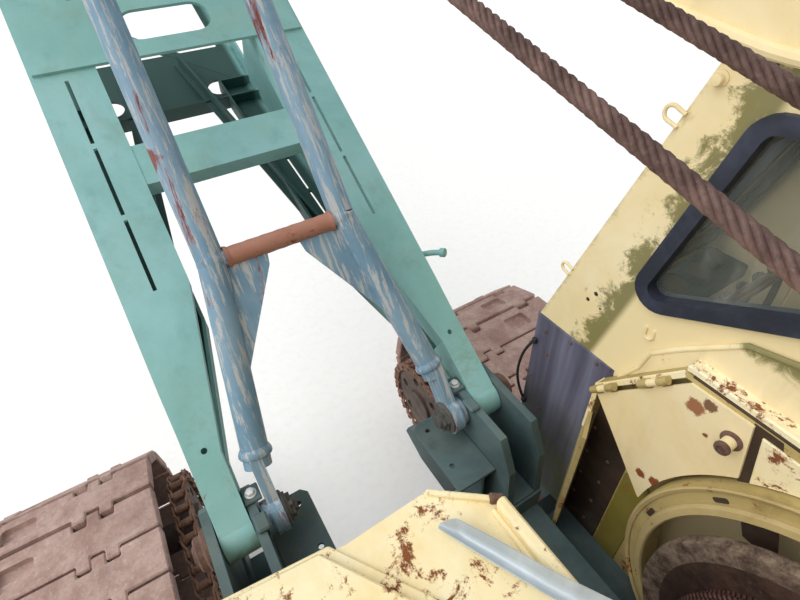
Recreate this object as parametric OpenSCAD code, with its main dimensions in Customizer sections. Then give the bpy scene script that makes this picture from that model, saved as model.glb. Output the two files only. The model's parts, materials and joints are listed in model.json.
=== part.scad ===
// Crawler crane with a lattice boom, a live mast and chain-driven tracks.
// Millimetres. +X is forward, +Y is left, +Z is up. The origin is on the ground, on the swing axis.

/* [Crawlers] */
// Distance between the middle lines of the two tracks
track_gauge = 2330; // [2250:10:2600]
// Distance between the front and rear tumbler axles
tumbler_base = 3560; // [3300:10:4000]
// Height of the track over its shoes
track_h = 920; // [900:10:960]
// Width of a track shoe
shoe_w = 800; // [700:10:900]
// Wanted distance from one shoe to the next
shoe_pitch = 210; // [190:5:240]
// Gap between two shoes
shoe_gap = 12; // [8:1:16]
// Height of a shoe over its pin line
shoe_h = 55; // [50:1:60]
// Depth of the track inside its pin line
shoe_root = 30; // [26:1:34]
// Width of the side frame between the runs of its track
side_frame_w = 360; // [320:10:420]
// Height of the side frame's beam
side_frame_h = 420; // [380:10:440]
// Number of track rollers under each side frame
rollers = 8; // [6:1:9]
// Radius of a track roller
roller_r = 95; // [85:1:100]

/* [Drive chains] */
// Pitch of the drive chain
chain_pitch = 76.2; // [70:0.2:80]
// Width of the drive chain over its plates
chain_w = 90; // [80:1:100]
// Thickness of the chain's plates on each side
chain_plate = 20; // [16:1:22]
// Distance between the middle planes of the two chains
chain_gauge = 1400; // [1380:5:1420]
// Teeth of the sprocket at the front tumbler
front_teeth = 22; // [20:1:23]
// Teeth of the sprocket on the propel shaft
shaft_teeth = 12; // [11:1:13]
// Place of the propel shaft ahead of the swing axis
shaft_x = 150; // [120:5:200]

/* [Lower frame] */
// Radius of the swing roller path
path_r = 700; // [680:5:720]
// Height of the roller path over the ground
path_z = 960; // [955:5:965]
// Place of each cross axle from the swing axis
axle_x = 750; // [700:10:820]
// Radius of the post on the swing axis
post_r = 80; // [70:1:90]

/* [Upper frame] */
// Height of the underside of the upper frame
frame_z = 1030; // [1025:5:1040]
// Height of the frame's side girders
girder_h = 170; // [150:5:190]
// Thickness of the floor plate
floor_t = 30; // [20:1:36]
// Height of the floor over the ground
floor_z = 1090; // [1085:1:1095]
// Width of the upper body over its side walls
upper_w = 2900; // [2800:10:3000]
// Distance of the house's rear wall behind the swing axis
house_rear = 2900; // [2800:10:3000]
// Reach of the counterweight's tail beyond the house's rear corners
tail_gap = 2; // [0:1:60]
// Height of the counterweight
weight_h = 820; // [700:10:900]

/* [House] */
// Height of the house roof over the ground
roof_z = 2350; // [2300:10:2420]
// Half width of the open channel for the hoist ropes
channel = 250; // [240:5:270]
// Thickness of the house and cab panels
panel = 40; // [30:1:44]
// Place of the left house's front wall
house_front = 200; // [180:5:220]
// Length of a house door
house_door_l = 1000; // [900:10:1100]
// Height of a house door
house_door_h = 1080; // [1000:10:1120]
// Gap round a door
door_gap = 8; // [6:1:10]
// Height of the deck cover over the ground
cover_z = 1900; // [1880:5:1920]
// Place of the deck cover's front edge
cover_front = 680; // [660:5:690]

/* [Cab] */
// Place of the cab's left wall beside the swing axis
cab_left = 650; // [640:5:670]
// Place of the cab's front at its foot
cab_front_x = 985; // [970:5:1000]
// Place of the cab's rear wall
cab_rear_x = -600; // [-620:5:-580]
// Height where the cab's front begins to lean back
cab_waist_z = 1860; // [1840:5:1880]
// Lean of the cab's front
cab_lean = 19.3; // [17:0.1:21]
// Height of the cab roof over the ground
cab_roof_z = 2900; // [2860:10:2940]
// Width of the rubber seal round a window
seal_w = 34; // [28:1:40]
// Length of the cab door
cab_door_l = 560; // [520:10:580]

/* [Boom] */
// Place of the boom foot pin ahead of the swing axis
pin_x = 1000; // [990:5:1010]
// Height of the boom foot pin over the ground
pin_z = 1550; // [1530:5:1570]
// Pitch of the boom over the ground
boom_pitch = 25; // [22:0.5:28]
// Length of the boom from foot pin to head pin
boom_l = 9850; // [9400:50:10300]
// Length of the lower boom section
butt_l = 5000; // [4800:50:5200]
// Width of the boom over its chords
boom_w = 960; // [940:5:975]
// Depth of the boom over its chords
boom_d = 900; // [880:5:920]
// Angle between the boom's axis and its faces near the foot
boom_taper = 10; // [9:0.5:11]
// Distance from the foot pin to where the legs reach their full width
kink_s = 750; // [700:10:800]
// Width of a boom leg at the foot
foot_w = 90; // [80:1:95]
// Radius of the boom foot
foot_r = 62; // [58:1:66]
// Width of a boom leg
leg_w = 200; // [185:1:210]
// Width of the chord angles
chord_w = 90; // [80:1:100]
// Thickness of the boom's plates and angles
boom_t = 12; // [10:1:14]
// Radius of the boom foot pins
pin_r = 32; // [28:1:36]
// Radius of the head pin's bore
head_pin_r = 40; // [36:1:44]
// Radius of a head sheave
sheave_r = 230; // [210:5:250]
// Length over which the boom draws together to its head
head_taper_l = 2050; // [1900:10:2200]

/* [Mast] */
// Pitch of the mast over the ground
mast_pitch = 52; // [50:0.5:54]
// Length of the mast from its foot to its head pin
mast_l = 2400; // [2300:10:2500]
// Radius of the mast's tubes
mast_tube_r = 40; // [36:1:44]
// Radius of the mast's cross tube
cross_tube_r = 26; // [23:1:29]
// Distance from the foot pin to the mast's bend
bend_s = 745; // [700:5:780]
// Half distance between the mast's feet
mast_foot_y = 312; // [306:1:316]
// Half distance between the mast's upper tubes
mast_head_y = 209; // [200:1:215]
// Radius of the hoist sheaves on mast and gantry
rope_sheave_r = 120; // [110:5:130]

/* [Hidden] */
$fn = 64;

// Running gap of a seat, and gap of a hinge pin
seat = 0.3;
// Steel plate of frames and brackets
plate = 30;

// Crawler
track_y = track_gauge / 2;
track_r = track_h / 2;
pitch_r = track_r - shoe_h;
inner_r = pitch_r - shoe_root;
loop_l = 2 * tumbler_base + 2 * PI * pitch_r;
shoes = round(loop_l / shoe_pitch);
real_pitch = loop_l / shoes;
groove_h = 12;
beam_z = track_r - side_frame_h / 2;
clevis_z = 455;
clevis_pin_r = 26;
run_top = track_r + inner_r;
run_bottom = track_r - inner_r;

// Drive chain
chain_y = chain_gauge / 2;
front_r = chain_pitch / (2 * sin(180 / front_teeth));
shaft_r = chain_pitch / (2 * sin(180 / shaft_teeth));
chain_base = tumbler_base / 2 - shaft_x;
chain_off = asin((front_r - shaft_r) / chain_base);
chain_run = chain_base * cos(chain_off);
front_wrap = front_r * (180 + 2 * chain_off) * PI / 180;
shaft_wrap = shaft_r * (180 - 2 * chain_off) * PI / 180;
chain_l = 2 * chain_run + front_wrap + shaft_wrap;
links = round(chain_l / chain_pitch);
tooth_w = chain_w - 2 * chain_plate - 2 * seat;
link_h = 31;
waist_h = 22;

// Upper frame
girder_in = 300;
girder_out = 500;
girder_top = frame_z + girder_h;
nose_x = pin_x + 300;
half_w = upper_w / 2;
tail_r = norm([house_rear + 40, half_w]) + tail_gap;
lug_t = 26;
lug_gap = 4;
lug_back = 285;
foot_y = boom_w / 2 - foot_w / 2 - 4;
lug_in = foot_y - foot_w / 2 - lug_gap - lug_t;
lug_out = foot_y + foot_w / 2 + lug_gap;

// Boom
half_boom = boom_w / 2;
half_d = boom_d / 2;
taper_u = (half_d - foot_r) / tan(boom_taper);
taper_s = taper_u / cos(boom_taper);
leg_in = half_boom - leg_w;
leg_out = half_boom - 2;
leg_straight = 230;
head_u = boom_l;
taper_head_u = boom_l - head_taper_l;
head_half_w = mast_head_y + 1;
head_half_d = 190;
head_plate = 24;

// Mast and pendants, in the boom's own directions
mast_rel = mast_pitch - boom_pitch;
mast_tip_u = mast_l * cos(mast_rel);
mast_tip_v = mast_l * sin(mast_rel);
pendant_u = boom_l - 220;
pendant_v = head_half_d + 100;
pendant_l = norm([pendant_u - mast_tip_u, pendant_v - mast_tip_v]);
pendant_a = atan2(pendant_v - mast_tip_v, pendant_u - mast_tip_u);
pendant_r = 15;
pendant_y = mast_head_y + 27;

// Counterweight lifting eyes
weight_eye_y = 900;

// Folded sheet of covers and guards, and the cover's side edges
sheet = 12;
cover_skirt = 90;
cover_right = -132;
cover_left = 600;

// Gantry and drums
gantry_x = -2200;
gantry_z = 2175;
gantry_in = 170;
gantry_reach = 480;
drum_x = -95;
drum_z = 1512;
drum_r = 200;
wound_r = 335;
flange_r = 435;
flange_t = 27;
drum_left = -175;
drum_right = -girder_out - 8 - flange_t;
hoist_x = -1000;

// Guard: a shallow tray beside the cab, with a round opening for the drum's end
guard_right = -cab_left + 5;
guard_left = guard_right + 45;
guard_rear = cab_rear_x - 40;
guard_front = 700;
guard_top = 2063;
guard_mid = 290;
guard_ring = 550;
guard_ring_in = 480;
panel_edge = [642, -512];
panel_top = 1705;
tray_pts = [[guard_rear, floor_z + seat], [guard_front, floor_z + seat], [guard_front + 2, 1823],
    [507, guard_top], [guard_rear, guard_top]];
tray_in_pts = [[guard_rear - 1, floor_z - 1], [guard_front - sheet, floor_z - 1],
    [guard_front - sheet, 1819], [501, guard_top - sheet], [guard_rear - 1, guard_top - sheet]];

// Lid: corners, slope of its hinged edge and places of the hinges along it
lid_a = [684, 1803];
lid_b = [485, 2051];
lid_turn = atan2(lid_b.y - lid_a.y, lid_b.x - lid_a.x);
lid_pts = [lid_a, lid_b, [344, 2055], [312, 1897], [200, 1700], [470, 1558]];
lid_cut_r = 563;
lid_y = guard_left + seat;
lid_t = 8;
lid_axis_y = guard_left + 14;
lid_axis_z = -16;
lid_eye_r = 10;
lid_eye_u = [41, 223];
knob_at = [362, 1985];
hoist_z = 1500;
sheave_bore = 29;

engine_in = 300;
engine_l = 1250;
engine_h = 860;

// Cab
cab_right = half_w;
cab_lean_x = (cab_roof_z - cab_waist_z) * tan(cab_lean);
roof_t = 40;
roof_under = cab_roof_z - roof_t;
front_top_x = cab_front_x - (roof_under - cab_waist_z) * tan(cab_lean);
cab_door_x = 60;
cab_door_z = floor_z + 40;
cab_door_top = roof_under - 130;
house_door_x = -1300;
house_door_z = floor_z + 70;
house_gap = 100;

// Bare sheet on the cab's foot, and the step of the wall below the waist
sheet_t = 5;
sheet_rear = cab_front_x - 295;
wall_step = 30;

// Chair and lever stand back from the cab's front, and height of the levers
chair_back = 865;
stand_back = 345;
lever_h = 900;

// Corners of the cab's side wall: distance forward, height
side_wall_pts = [[cab_rear_x, cab_waist_z], [cab_front_x, cab_waist_z], [front_top_x, roof_under],
    [cab_rear_x, roof_under]];
// Corners of the left window: distance forward, height
left_window_pts = [[745, 2070], [600, 2625], [40, 2625], [40, 2440]];
// Cab inside from its right to its left wall, and corners of the windows across it
cab_y0 = -cab_right + panel + seat;
cab_y1 = -cab_left - panel - seat;
upper_window_pts = [[cab_y0 + 70, 110], [cab_y1 - 70, 110], [cab_y1 - 70, 960], [cab_y0 + 70, 960]];
lower_window_pts = [[cab_y0 + 90, cab_waist_z - 440], [cab_y1 - 90, cab_waist_z - 440],
    [cab_y1 - 90, cab_waist_z - 100], [cab_y0 + 90, cab_waist_z - 100]];
rear_window_pts = [[cab_y0 + 110, roof_under - 440], [cab_y1 - 160, roof_under - 440],
    [cab_y1 - 160, roof_under - 120], [cab_y0 + 110, roof_under - 120]];

// A box between two corners
module slab(low, high) {
    translate(low) cube(high - low);
}

// A profile in forward distance and height, made solid from y0 to y1
module side_plate(pts, y0, y1) {
    translate([0, y1, 0]) rotate([90, 0, 0]) linear_extrude(y1 - y0) polygon(pts);
}

// A round bar across the machine
module cross_bar(x, z, y0, y1, r) {
    translate([x, y1, z]) rotate([90, 0, 0]) cylinder(h = y1 - y0, r = r);
}

// A square bar from point a to point b
module strut(a, b, w, h) {
    v = b - a;
    flat = norm([v.x, v.y]);
    translate(a) rotate([0, atan2(flat, v.z), flat == 0 ? 0 : atan2(v.y, v.x)])
        translate([-h / 2, -w / 2, 0]) cube([h, w, norm(v)]);
}

// A round bar from point a to point b
module tube(a, b, r) {
    v = b - a;
    flat = norm([v.x, v.y]);
    translate(a) rotate([0, atan2(flat, v.z), flat == 0 ? 0 : atan2(v.y, v.x)])
        cylinder(h = norm(v), r = r);
}

module on_both_sides() {
    children();
    mirror([0, 1, 0]) children();
}

module in_boom() {
    translate([pin_x, 0, pin_z]) rotate([0, -boom_pitch, 0]) children();
}

module in_mast() {
    translate([pin_x, 0, pin_z]) rotate([0, -mast_pitch, 0]) children();
}

// Place and heading on a track loop: forward, up, angle of the outward normal from vertical
function on_track(s) =
    s < tumbler_base ? [s - tumbler_base / 2, pitch_r, 0]
    : s < tumbler_base + PI * pitch_r ?
        let (a = (s - tumbler_base) / pitch_r * 180 / PI)
        [tumbler_base / 2 + pitch_r * sin(a), pitch_r * cos(a), a]
    : s < 2 * tumbler_base + PI * pitch_r ?
        [tumbler_base / 2 - (s - tumbler_base - PI * pitch_r), -pitch_r, 180]
    : let (a = 180 + (s - 2 * tumbler_base - PI * pitch_r) / pitch_r * 180 / PI)
        [-tumbler_base / 2 + pitch_r * sin(a), pitch_r * cos(a), a];

// A point at place p of a loop, moved along it by t and outwards by n
function off_loop(p, t, n) =
    [p[0] + t * cos(p[2]) + n * sin(p[2]), p[1] - t * sin(p[2]) + n * cos(p[2])];

// Place and heading on a drive chain's pitch line, from the top of the shaft's sprocket
function on_chain(s) =
    s < chain_run ?
        [shaft_x + s * cos(chain_off) - shaft_r * sin(chain_off),
            s * sin(chain_off) + shaft_r * cos(chain_off), -chain_off]
    : s < chain_run + front_wrap ?
        let (a = (s - chain_run) / front_r * 180 / PI - chain_off)
        [tumbler_base / 2 + front_r * sin(a), front_r * cos(a), a]
    : s < 2 * chain_run + front_wrap ?
        let (d = s - chain_run - front_wrap)
        [tumbler_base / 2 - d * cos(chain_off) - front_r * sin(chain_off),
            d * sin(chain_off) - front_r * cos(chain_off), 180 + chain_off]
    : let (a = 180 + chain_off + (s - 2 * chain_run - front_wrap) / shaft_r * 180 / PI)
        [shaft_x + shaft_r * sin(a), shaft_r * cos(a), a];

// Middle, heading and half length of the shoe between two pins
function shoe_place(i) = let (
        a = on_track(i * real_pitch),
        b = on_track((i + 1) * real_pitch))
    [(a[0] + b[0]) / 2, (a[1] + b[1]) / 2, atan2(a[1] - b[1], b[0] - a[0]),
        norm([b[0] - a[0], b[1] - a[1]]) / 2 - shoe_gap / 2];

// One track: a closed loop of flat shoes with a groove between each two
module track() {
    outer = [for (i = [0:shoes - 1]) let (p = shoe_place(i), half = p[3])
        each [off_loop(p, -half, groove_h), off_loop(p, -half, shoe_h), off_loop(p, half, shoe_h),
            off_loop(p, half, groove_h)]];
    color([0.62, 0.49, 0.43])
        translate([0, track_y + shoe_w / 2, track_r]) rotate([90, 0, 0]) linear_extrude(shoe_w)
        difference() {
            polygon(outer);
            for (x = [-1, 1]) translate([x * tumbler_base / 2, 0]) circle(inner_r);
            square([tumbler_base, 2 * inner_r], center = true);
        }
}

// Side frame: box beam with bottom rollers, carrier rollers and axle seats for the tumblers
module side_frame() {
    w = side_frame_w / 2;
    span = tumbler_base / 2 - inner_r - 60;
    step = 2 * (span - roller_r) / (rollers - 1);
    color([0.30, 0.36, 0.35]) {
        translate([0, track_y, 0]) {
            difference() {
                slab([-span, -w, beam_z], [span, w, beam_z + side_frame_h]);
                slab([-span + 60, w - 60, beam_z + 90], [span - 60, w + 1, beam_z + side_frame_h - 60]);
            }
            for (end = [-1, 1], side = [-1, 1])
                translate([0, side * (w - plate / 2) + plate / 2, 0]) rotate([90, 0, 0])
                    linear_extrude(plate) difference() {
                        union() {
                            translate([end * tumbler_base / 2, track_r]) circle(130);
                            polygon([[end * (span - 20), beam_z + 60],
                                [end * tumbler_base / 2, track_r - 130],
                                [end * tumbler_base / 2, track_r + 130],
                                [end * (span - 20), beam_z + side_frame_h - 60]]);
                        }
                        translate([end * tumbler_base / 2, track_r]) circle(70 + seat);
                    }
            for (i = [0:rollers - 1]) translate([i * step + roller_r - span, 0, run_bottom + roller_r + seat])
                rotate([90, 0, 0]) {
                    for (y = [-110, 60]) translate([0, 0, y]) cylinder(h = 50, r = roller_r);
                    cylinder(h = 2 * w - 40, r = 45, center = true);
                }
            for (x = [-0.5, 0.5]) translate([x * span, 0, run_top - 70 - seat]) rotate([90, 0, 0])
                cylinder(h = 220, r = 70, center = true);
            for (x = [-0.5, 0.5]) for (side = [-1, 1])
                slab([x * span - 40, side * 140 - 20, beam_z + side_frame_h - 70],
                    [x * span + 40, side * 140 + 20, run_top - 50]);
            for (x = [-0.5, 0.5]) translate([x * span, 0, run_top - 70 - seat]) rotate([90, 0, 0])
                cylinder(h = 320, r = 24, center = true);
        }
    }
}

// Rim, web with lightening holes and hub, turning about a cross axis
module wheel(r, rim, hub, w, web, holes, hole_r) {
    rotate([90, 0, 0]) difference() {
        union() {
            difference() {
                cylinder(h = w, r = r, center = true);
                for (side = [-1, 1]) translate([0, 0, side * (w / 2 + web / 2)])
                    cylinder(h = w, r = r - rim, center = true);
            }
            cylinder(h = w + 20, r = hub, center = true);
        }
        for (i = [0:holes - 1]) rotate([0, 0, (i + 0.5) * 360 / holes])
            translate([(r - rim + hub) / 2, 0, 0]) cylinder(h = 2 * w, r = hole_r, center = true);
    }
}

// A toothed disc about a cross axis
module sprocket(teeth, r, w, hub, hole_r) {
    outline = [for (i = [0:teeth - 1], k = [0:3]) let (
            a = (i + [0.18, 0.38, 0.62, 0.82][k]) * 360 / teeth,
            q = r + [-19, 13, 13, -19][k])
        [q * sin(a), q * cos(a)]];
    rotate([90, 0, 0]) difference() {
        union() {
            linear_extrude(w, center = true) polygon(outline);
            cylinder(h = w + 40, r = hub, center = true);
        }
        if (hole_r > 0) for (i = [0:5]) rotate([0, 0, i * 60 + 15]) translate([(r + hub) / 2 - 8, 0, 0])
            cylinder(h = 3 * w, r = hole_r, center = true);
    }
}

// Front tumbler on its shaft with the chain's sprocket at the inner end
module drive_tumbler() {
    color([0.40, 0.34, 0.31]) translate([tumbler_base / 2, 0, track_r]) {
        translate([0, track_y, 0]) wheel(inner_r - 1 - seat, 60, 120, 200, 60, 6, 45);
        cross_bar(0, 0, chain_y - 20, track_y + side_frame_w / 2 + 30, 70);
        translate([0, chain_y, 0]) sprocket(front_teeth, front_r, tooth_w, 105, 28);
    }
}

// Rear idler on its axle
module idler() {
    color([0.40, 0.34, 0.31]) translate([-tumbler_base / 2, 0, track_r]) {
        translate([0, track_y, 0]) wheel(inner_r - 1 - seat, 60, 120, 200, 60, 6, 45);
        cross_bar(0, 0, track_y - side_frame_w / 2 - 20, track_y + side_frame_w / 2 + 30, 70);
    }
}

// Roller chain: on each side a band of plates with a waist between two pins
module drive_chain() {
    step = chain_l / links / 2;
    outer = [for (i = [0:2 * links - 1]) off_loop(on_chain(i * step), 0, i % 2 == 0 ? link_h : waist_h)];
    inner = [for (i = [0:links - 1]) off_loop(on_chain(i * 2 * step), 0, -link_h)];
    color([0.55, 0.36, 0.26]) for (side = [-1, 1])
        translate([0, chain_y + side * (chain_w - chain_plate) / 2 + chain_plate / 2, track_r])
        rotate([90, 0, 0]) linear_extrude(chain_plate) difference() {
            polygon(outer);
            polygon(inner);
        }
}

// Propel shaft: a stub with its sprocket on each side of the lower frame
module propel_shaft() {
    color([0.40, 0.34, 0.31]) on_both_sides() translate([shaft_x, 0, track_r]) {
        cross_bar(0, 0, 420, chain_y + 50, 45);
        translate([0, chain_y, 0]) sprocket(shaft_teeth, shaft_r, tooth_w, 75, 0);
    }
}

// Lower frame: box with round top, cross axles and pads for the side frames
module carbody() {
    axle_low = 345;
    axle_high = 575;
    side_in = track_y - side_frame_w / 2 - seat;
    top = path_z - 60;
    color([0.30, 0.36, 0.35]) difference() {
        union() {
            slab([-axle_x, -350, 330], [axle_x, 350, 620]);
            translate([0, 0, 560]) cylinder(h = top - 620, r = path_r - 140);
            translate([0, 0, top - 60]) cylinder(h = 60, r = path_r);
            translate([0, 0, top - 1]) cylinder(h = floor_z + 20 - top, r = post_r);
            for (i = [0:7]) rotate([0, 0, i * 45]) translate([0, plate / 2, 0]) rotate([90, 0, 0])
                linear_extrude(plate) polygon([[path_r - 150, 580], [path_r - 20, top - 59],
                    [path_r - 150, top - 59]]);
            for (end = [-1, 1]) {
                slab([end * axle_x - 150, -side_in, axle_low], [end * axle_x + 150, side_in, axle_high]);
                on_both_sides() slab([end * axle_x - 210, side_in - 40, axle_low - 40],
                    [end * axle_x + 210, side_in, axle_high + 40]);
                on_both_sides() slab([end * (axle_x + 140) - 20, 60, axle_low + 20],
                    [end * (axle_x + 140) + 20, 100, axle_high - 20]);
            }
            on_both_sides() cross_bar(shaft_x, track_r, 340, 420, 85);
            slab([axle_x + 120, -110, clevis_z - 75], [axle_x + 170, 110, clevis_z + 75]);
            for (side = [-1, 1]) slab([axle_x + 160, -90, clevis_z + side * 42.5 - 12.5],
                [axle_x + 310, 90, clevis_z + side * 42.5 + 12.5]);
        }
        translate([axle_x + 240, 0, clevis_z - 80]) cylinder(h = 160, r = clevis_pin_r);
        translate([0, 0, 320]) cylinder(h = 200, r = 220);
    }
}

// Roller path with the swing gear's teeth outside
module slew_ring() {
    teeth = 72;
    low = path_z - 60 + seat;
    outline = [for (i = [0:teeth - 1], k = [0:3]) let (
            a = (i + [0.1, 0.35, 0.65, 0.9][k]) * 360 / teeth,
            q = path_r + [8, 34, 34, 8][k])
        [q * cos(a), q * sin(a)]];
    color([0.36, 0.33, 0.31]) difference() {
        union() {
            translate([0, 0, low]) cylinder(h = 60 - seat, r = path_r);
            translate([0, 0, low]) linear_extrude(44) polygon(outline);
        }
        translate([0, 0, low - 1]) cylinder(h = 70, r = path_r - 120);
    }
}

// Swing rollers under the floor plate, with their brackets
module swing_rollers() {
    r = 40;
    mid_r = path_r - 60;
    for (q = [0:3], off = [-20, 20]) rotate([0, 0, q * 90 + off]) translate([mid_r, 0, path_z + r + seat])
        rotate([0, 90, 0]) {
            cylinder(h = 90, r = r, center = true);
            cylinder(h = 150, r = 18, center = true);
            for (side = [-1, 1]) translate([-65, -30, side * 65 - 10]) cube([85, 60, 20]);
        }
}

// A lug for the boom foot, with a flat top that slopes to the rear
module foot_lug(y0, y1) {
    difference() {
        side_plate([[pin_x - lug_back, girder_top - 20], [pin_x - lug_back + 25, pin_z - 60], [pin_x - 200, pin_z + 62],
            [pin_x + 70, pin_z + 72], [pin_x + 105, pin_z + 40], [pin_x + 190, girder_top - 20]], y0, y1);
        cross_bar(pin_x, pin_z, y0 - 1, y1 + 1, pin_r + seat);
    }
}

// Upper frame: girders, floor plate, boom foot lugs and bearing stands
module revolving_frame() {
    floor_low = floor_z - floor_t;
    color([0.28, 0.38, 0.37]) difference() {
        union() {
            on_both_sides() {
                side_plate([[-house_rear - 40, frame_z], [nose_x - 120, frame_z], [nose_x, frame_z + 60],
                    [nose_x - 15, girder_top - 70], [nose_x - 120, girder_top], [-house_rear - 40, girder_top]],
                    girder_in, girder_in + plate);
                side_plate([[-house_rear - 40, frame_z], [nose_x - 120, frame_z], [nose_x, frame_z + 60],
                    [nose_x - 15, girder_top - 70], [nose_x - 120, girder_top], [-house_rear - 40, girder_top]],
                    girder_out - plate, girder_out);
                slab([-house_rear - 40, girder_in, girder_top - plate],
                    [pin_x - 80, girder_out, girder_top]);
                side_plate([[pin_x - 90, girder_top - plate], [pin_x - 90, girder_top],
                    [nose_x - 120, girder_top], [nose_x - 120, girder_top - plate]], girder_in, lug_in + lug_t);
                slab([-house_rear - 40, girder_in, frame_z], [nose_x - 130, girder_out, frame_z + 20]);
                foot_lug(lug_in, lug_in + lug_t);
                foot_lug(lug_out, lug_out + lug_t);
                slab([pin_x - lug_back, lug_in, girder_top - plate], [pin_x - 180, lug_out + lug_t, girder_top + 90]);
            }
            slab([-house_rear, -half_w, floor_low], [house_front + 60, half_w, floor_z]);
            slab([house_front, -half_w, floor_low], [sheet_rear - seat, -girder_out + 1, floor_z]);
            slab([house_front, -half_w, floor_low], [cab_front_x, -cab_left - sheet_t - seat, floor_z]);
            for (x = [-2400, -1500, -900, cover_front - 80])
                slab([x - 60, -girder_in - 1, frame_z + 5], [x + 60, girder_in + 1, floor_z]);
            slab([pin_x - 160, -girder_in - 1, frame_z + 5], [pin_x - 60, girder_in + 1, girder_top - 40]);
            swing_rollers();
            for (y = [[guard_right - 10, guard_right + 15], [130, 165]])
                side_plate([[drum_x - 170, floor_z - 10], [drum_x + 140, floor_z - 10],
                    [drum_x + 80, drum_z + 80], [drum_x - 80, drum_z + 80]], y[0], y[1]);
            for (y = [[-165, -140], [140, 165]])
                side_plate([[hoist_x - 160, floor_z - 10], [hoist_x + 160, floor_z - 10],
                    [hoist_x + 60, hoist_z + 60], [hoist_x - 60, hoist_z + 60]], y[0], y[1]);
        }
        translate([0, 0, frame_z - 10]) cylinder(h = 200, r = post_r + 6);
        on_both_sides() cross_bar(pin_x - 115, frame_z + 105, girder_in - 1, girder_out + 1, 58);
        cross_bar(drum_x, drum_z, guard_right - 50, 200, 45 + seat);
        cross_bar(drum_x, drum_z, drum_right - 5, -girder_out - 3, flange_r + 25);
        cross_bar(drum_x, drum_z, -girder_out - 3, -girder_in + 3, wound_r + 15);
        cross_bar(drum_x, drum_z, drum_left - flange_t - 5, drum_left + 5, flange_r + 25);
        cross_bar(hoist_x, hoist_z, -200, 200, 35 + seat);
    }
}

// Cast counterweight with a round tail
module counterweight() {
    eye_x = -house_rear - 160;
    top = frame_z + weight_h;
    color([0.86, 0.78, 0.58]) difference() {
        union() {
            intersection() {
                slab([-tail_r - 20, -half_w, frame_z], [-house_rear - 40 - seat, half_w, top]);
                translate([0, 0, frame_z]) cylinder(h = weight_h, r = tail_r, $fn = 256);
            }
            on_both_sides() side_plate([[eye_x - 90, top - 1], [eye_x - 60, top + 90], [eye_x - 25, top + 130],
                [eye_x + 25, top + 130], [eye_x + 60, top + 90], [eye_x + 90, top - 1]],
                weight_eye_y - plate / 2, weight_eye_y + plate / 2);
        }
        on_both_sides() cross_bar(eye_x, top + 68, weight_eye_y - plate, weight_eye_y + plate, 30);
    }
}

// One half of the machinery house: side, ends, roof, inner wall and a door opening
module house(front) {
    side_y = half_w - panel;
    color([0.90, 0.82, 0.62]) difference() {
        slab([-house_rear, channel, floor_z + seat], [front, half_w, roof_z]);
        slab([-house_rear + panel, channel + panel, floor_z - 1], [front - panel, side_y, roof_z - panel]);
        slab([house_door_x - house_door_l, side_y - 1, house_door_z],
            [house_door_x, half_w + 1, house_door_z + house_door_h]);
        slab([-house_rear - 1, girder_in - seat, floor_z - 1], [front + 1, girder_out + seat, girder_top + seat]);
    }
    color([0.90, 0.82, 0.62]) for (z = [0.18, 0.82])
        hinge_post(house_door_x + 12, half_w + 14, house_door_z + z * house_door_h);
}

// Fixed half of a door hinge: a pin between two eyes on a leaf
module hinge_post(x, y, z) {
    for (end = [-1, 1]) translate([x, y, z + end * 45 - 20]) cylinder(h = 40, r = 12);
    translate([x, y, z - 40]) cylinder(h = 80, r = 6);
    slab([x + 14, y - 14, z - 65], [x + 40, y - 8, z + 65]);
    for (end = [-1, 1]) slab([x, y - 14, z + end * 45 - 20], [x + 15, y - 2, z + end * 45 + 20]);
}

// Moving half of a door hinge: an eye on a leaf
module hinge_eye(x, y, z) {
    difference() {
        union() {
            translate([x, y, z - 24]) cylinder(h = 48, r = 12);
            slab([x - 60, y - 14, z - 24], [x - 14, y - 8, z + 24]);
            slab([x - 24, y - 14, z - 24], [x, y - 4, z + 24]);
        }
        translate([x, y, z - 50]) cylinder(h = 100, r = 6 + seat);
    }
}

module house_door() {
    g = door_gap;
    color([0.90, 0.82, 0.62]) {
        difference() {
            slab([house_door_x - house_door_l + g, half_w - panel, house_door_z + g],
                [house_door_x - g, half_w, house_door_z + house_door_h - g]);
            for (k = [0:4]) slab([house_door_x - house_door_l + 180, half_w - 18, house_door_z + 620 + k * 70],
                [house_door_x - 180, half_w + 1, house_door_z + 650 + k * 70]);
        }
        for (z = [0.18, 0.82]) hinge_eye(house_door_x + 12, half_w + 14, house_door_z + z * house_door_h);
        translate([house_door_x - house_door_l + 70, half_w - 1, house_door_z + house_door_h / 2])
            rotate([-90, 0, 0]) cylinder(h = 26, r = 16);
    }
}

// Outline of the folded cover ahead of the left house, seen from above
module cover_outline() {
    x = cover_front;
    polygon([[house_front + seat, cover_right], [x - 120, cover_right + 12], [x - 18, 8], [x - 25, 215],
        [x + 12, 468], [x + 12, cover_left], [house_front + seat, cover_left]]);
}

// Folded cover on two posts, and the low roof of the rope channel
module deck_cover() {
    low = cover_z - cover_skirt;
    color([0.92, 0.84, 0.63]) {
        difference() {
            translate([0, 0, low]) linear_extrude(cover_skirt) cover_outline();
            translate([0, 0, low - 1]) linear_extrude(cover_skirt - sheet + 1) offset(delta = -sheet) cover_outline();
        }
        slab([cover_front - 160, girder_out - 60, girder_top + seat], [cover_front - 120, girder_out - 20,
            cover_z - sheet + 1]);
        slab([cover_front - 100, cover_right + 80, floor_z + seat], [cover_front - 60, cover_right + 120,
            cover_z - sheet + 1]);
        slab([gantry_x + gantry_reach + 100, -channel + seat, cover_z - sheet], [cab_rear_x - house_gap,
            channel - seat, cover_z]);
        slab([cab_rear_x - house_gap - 1, cover_right, cover_z - sheet], [house_front - seat, channel - seat,
            cover_z]);
    }
}

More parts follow.
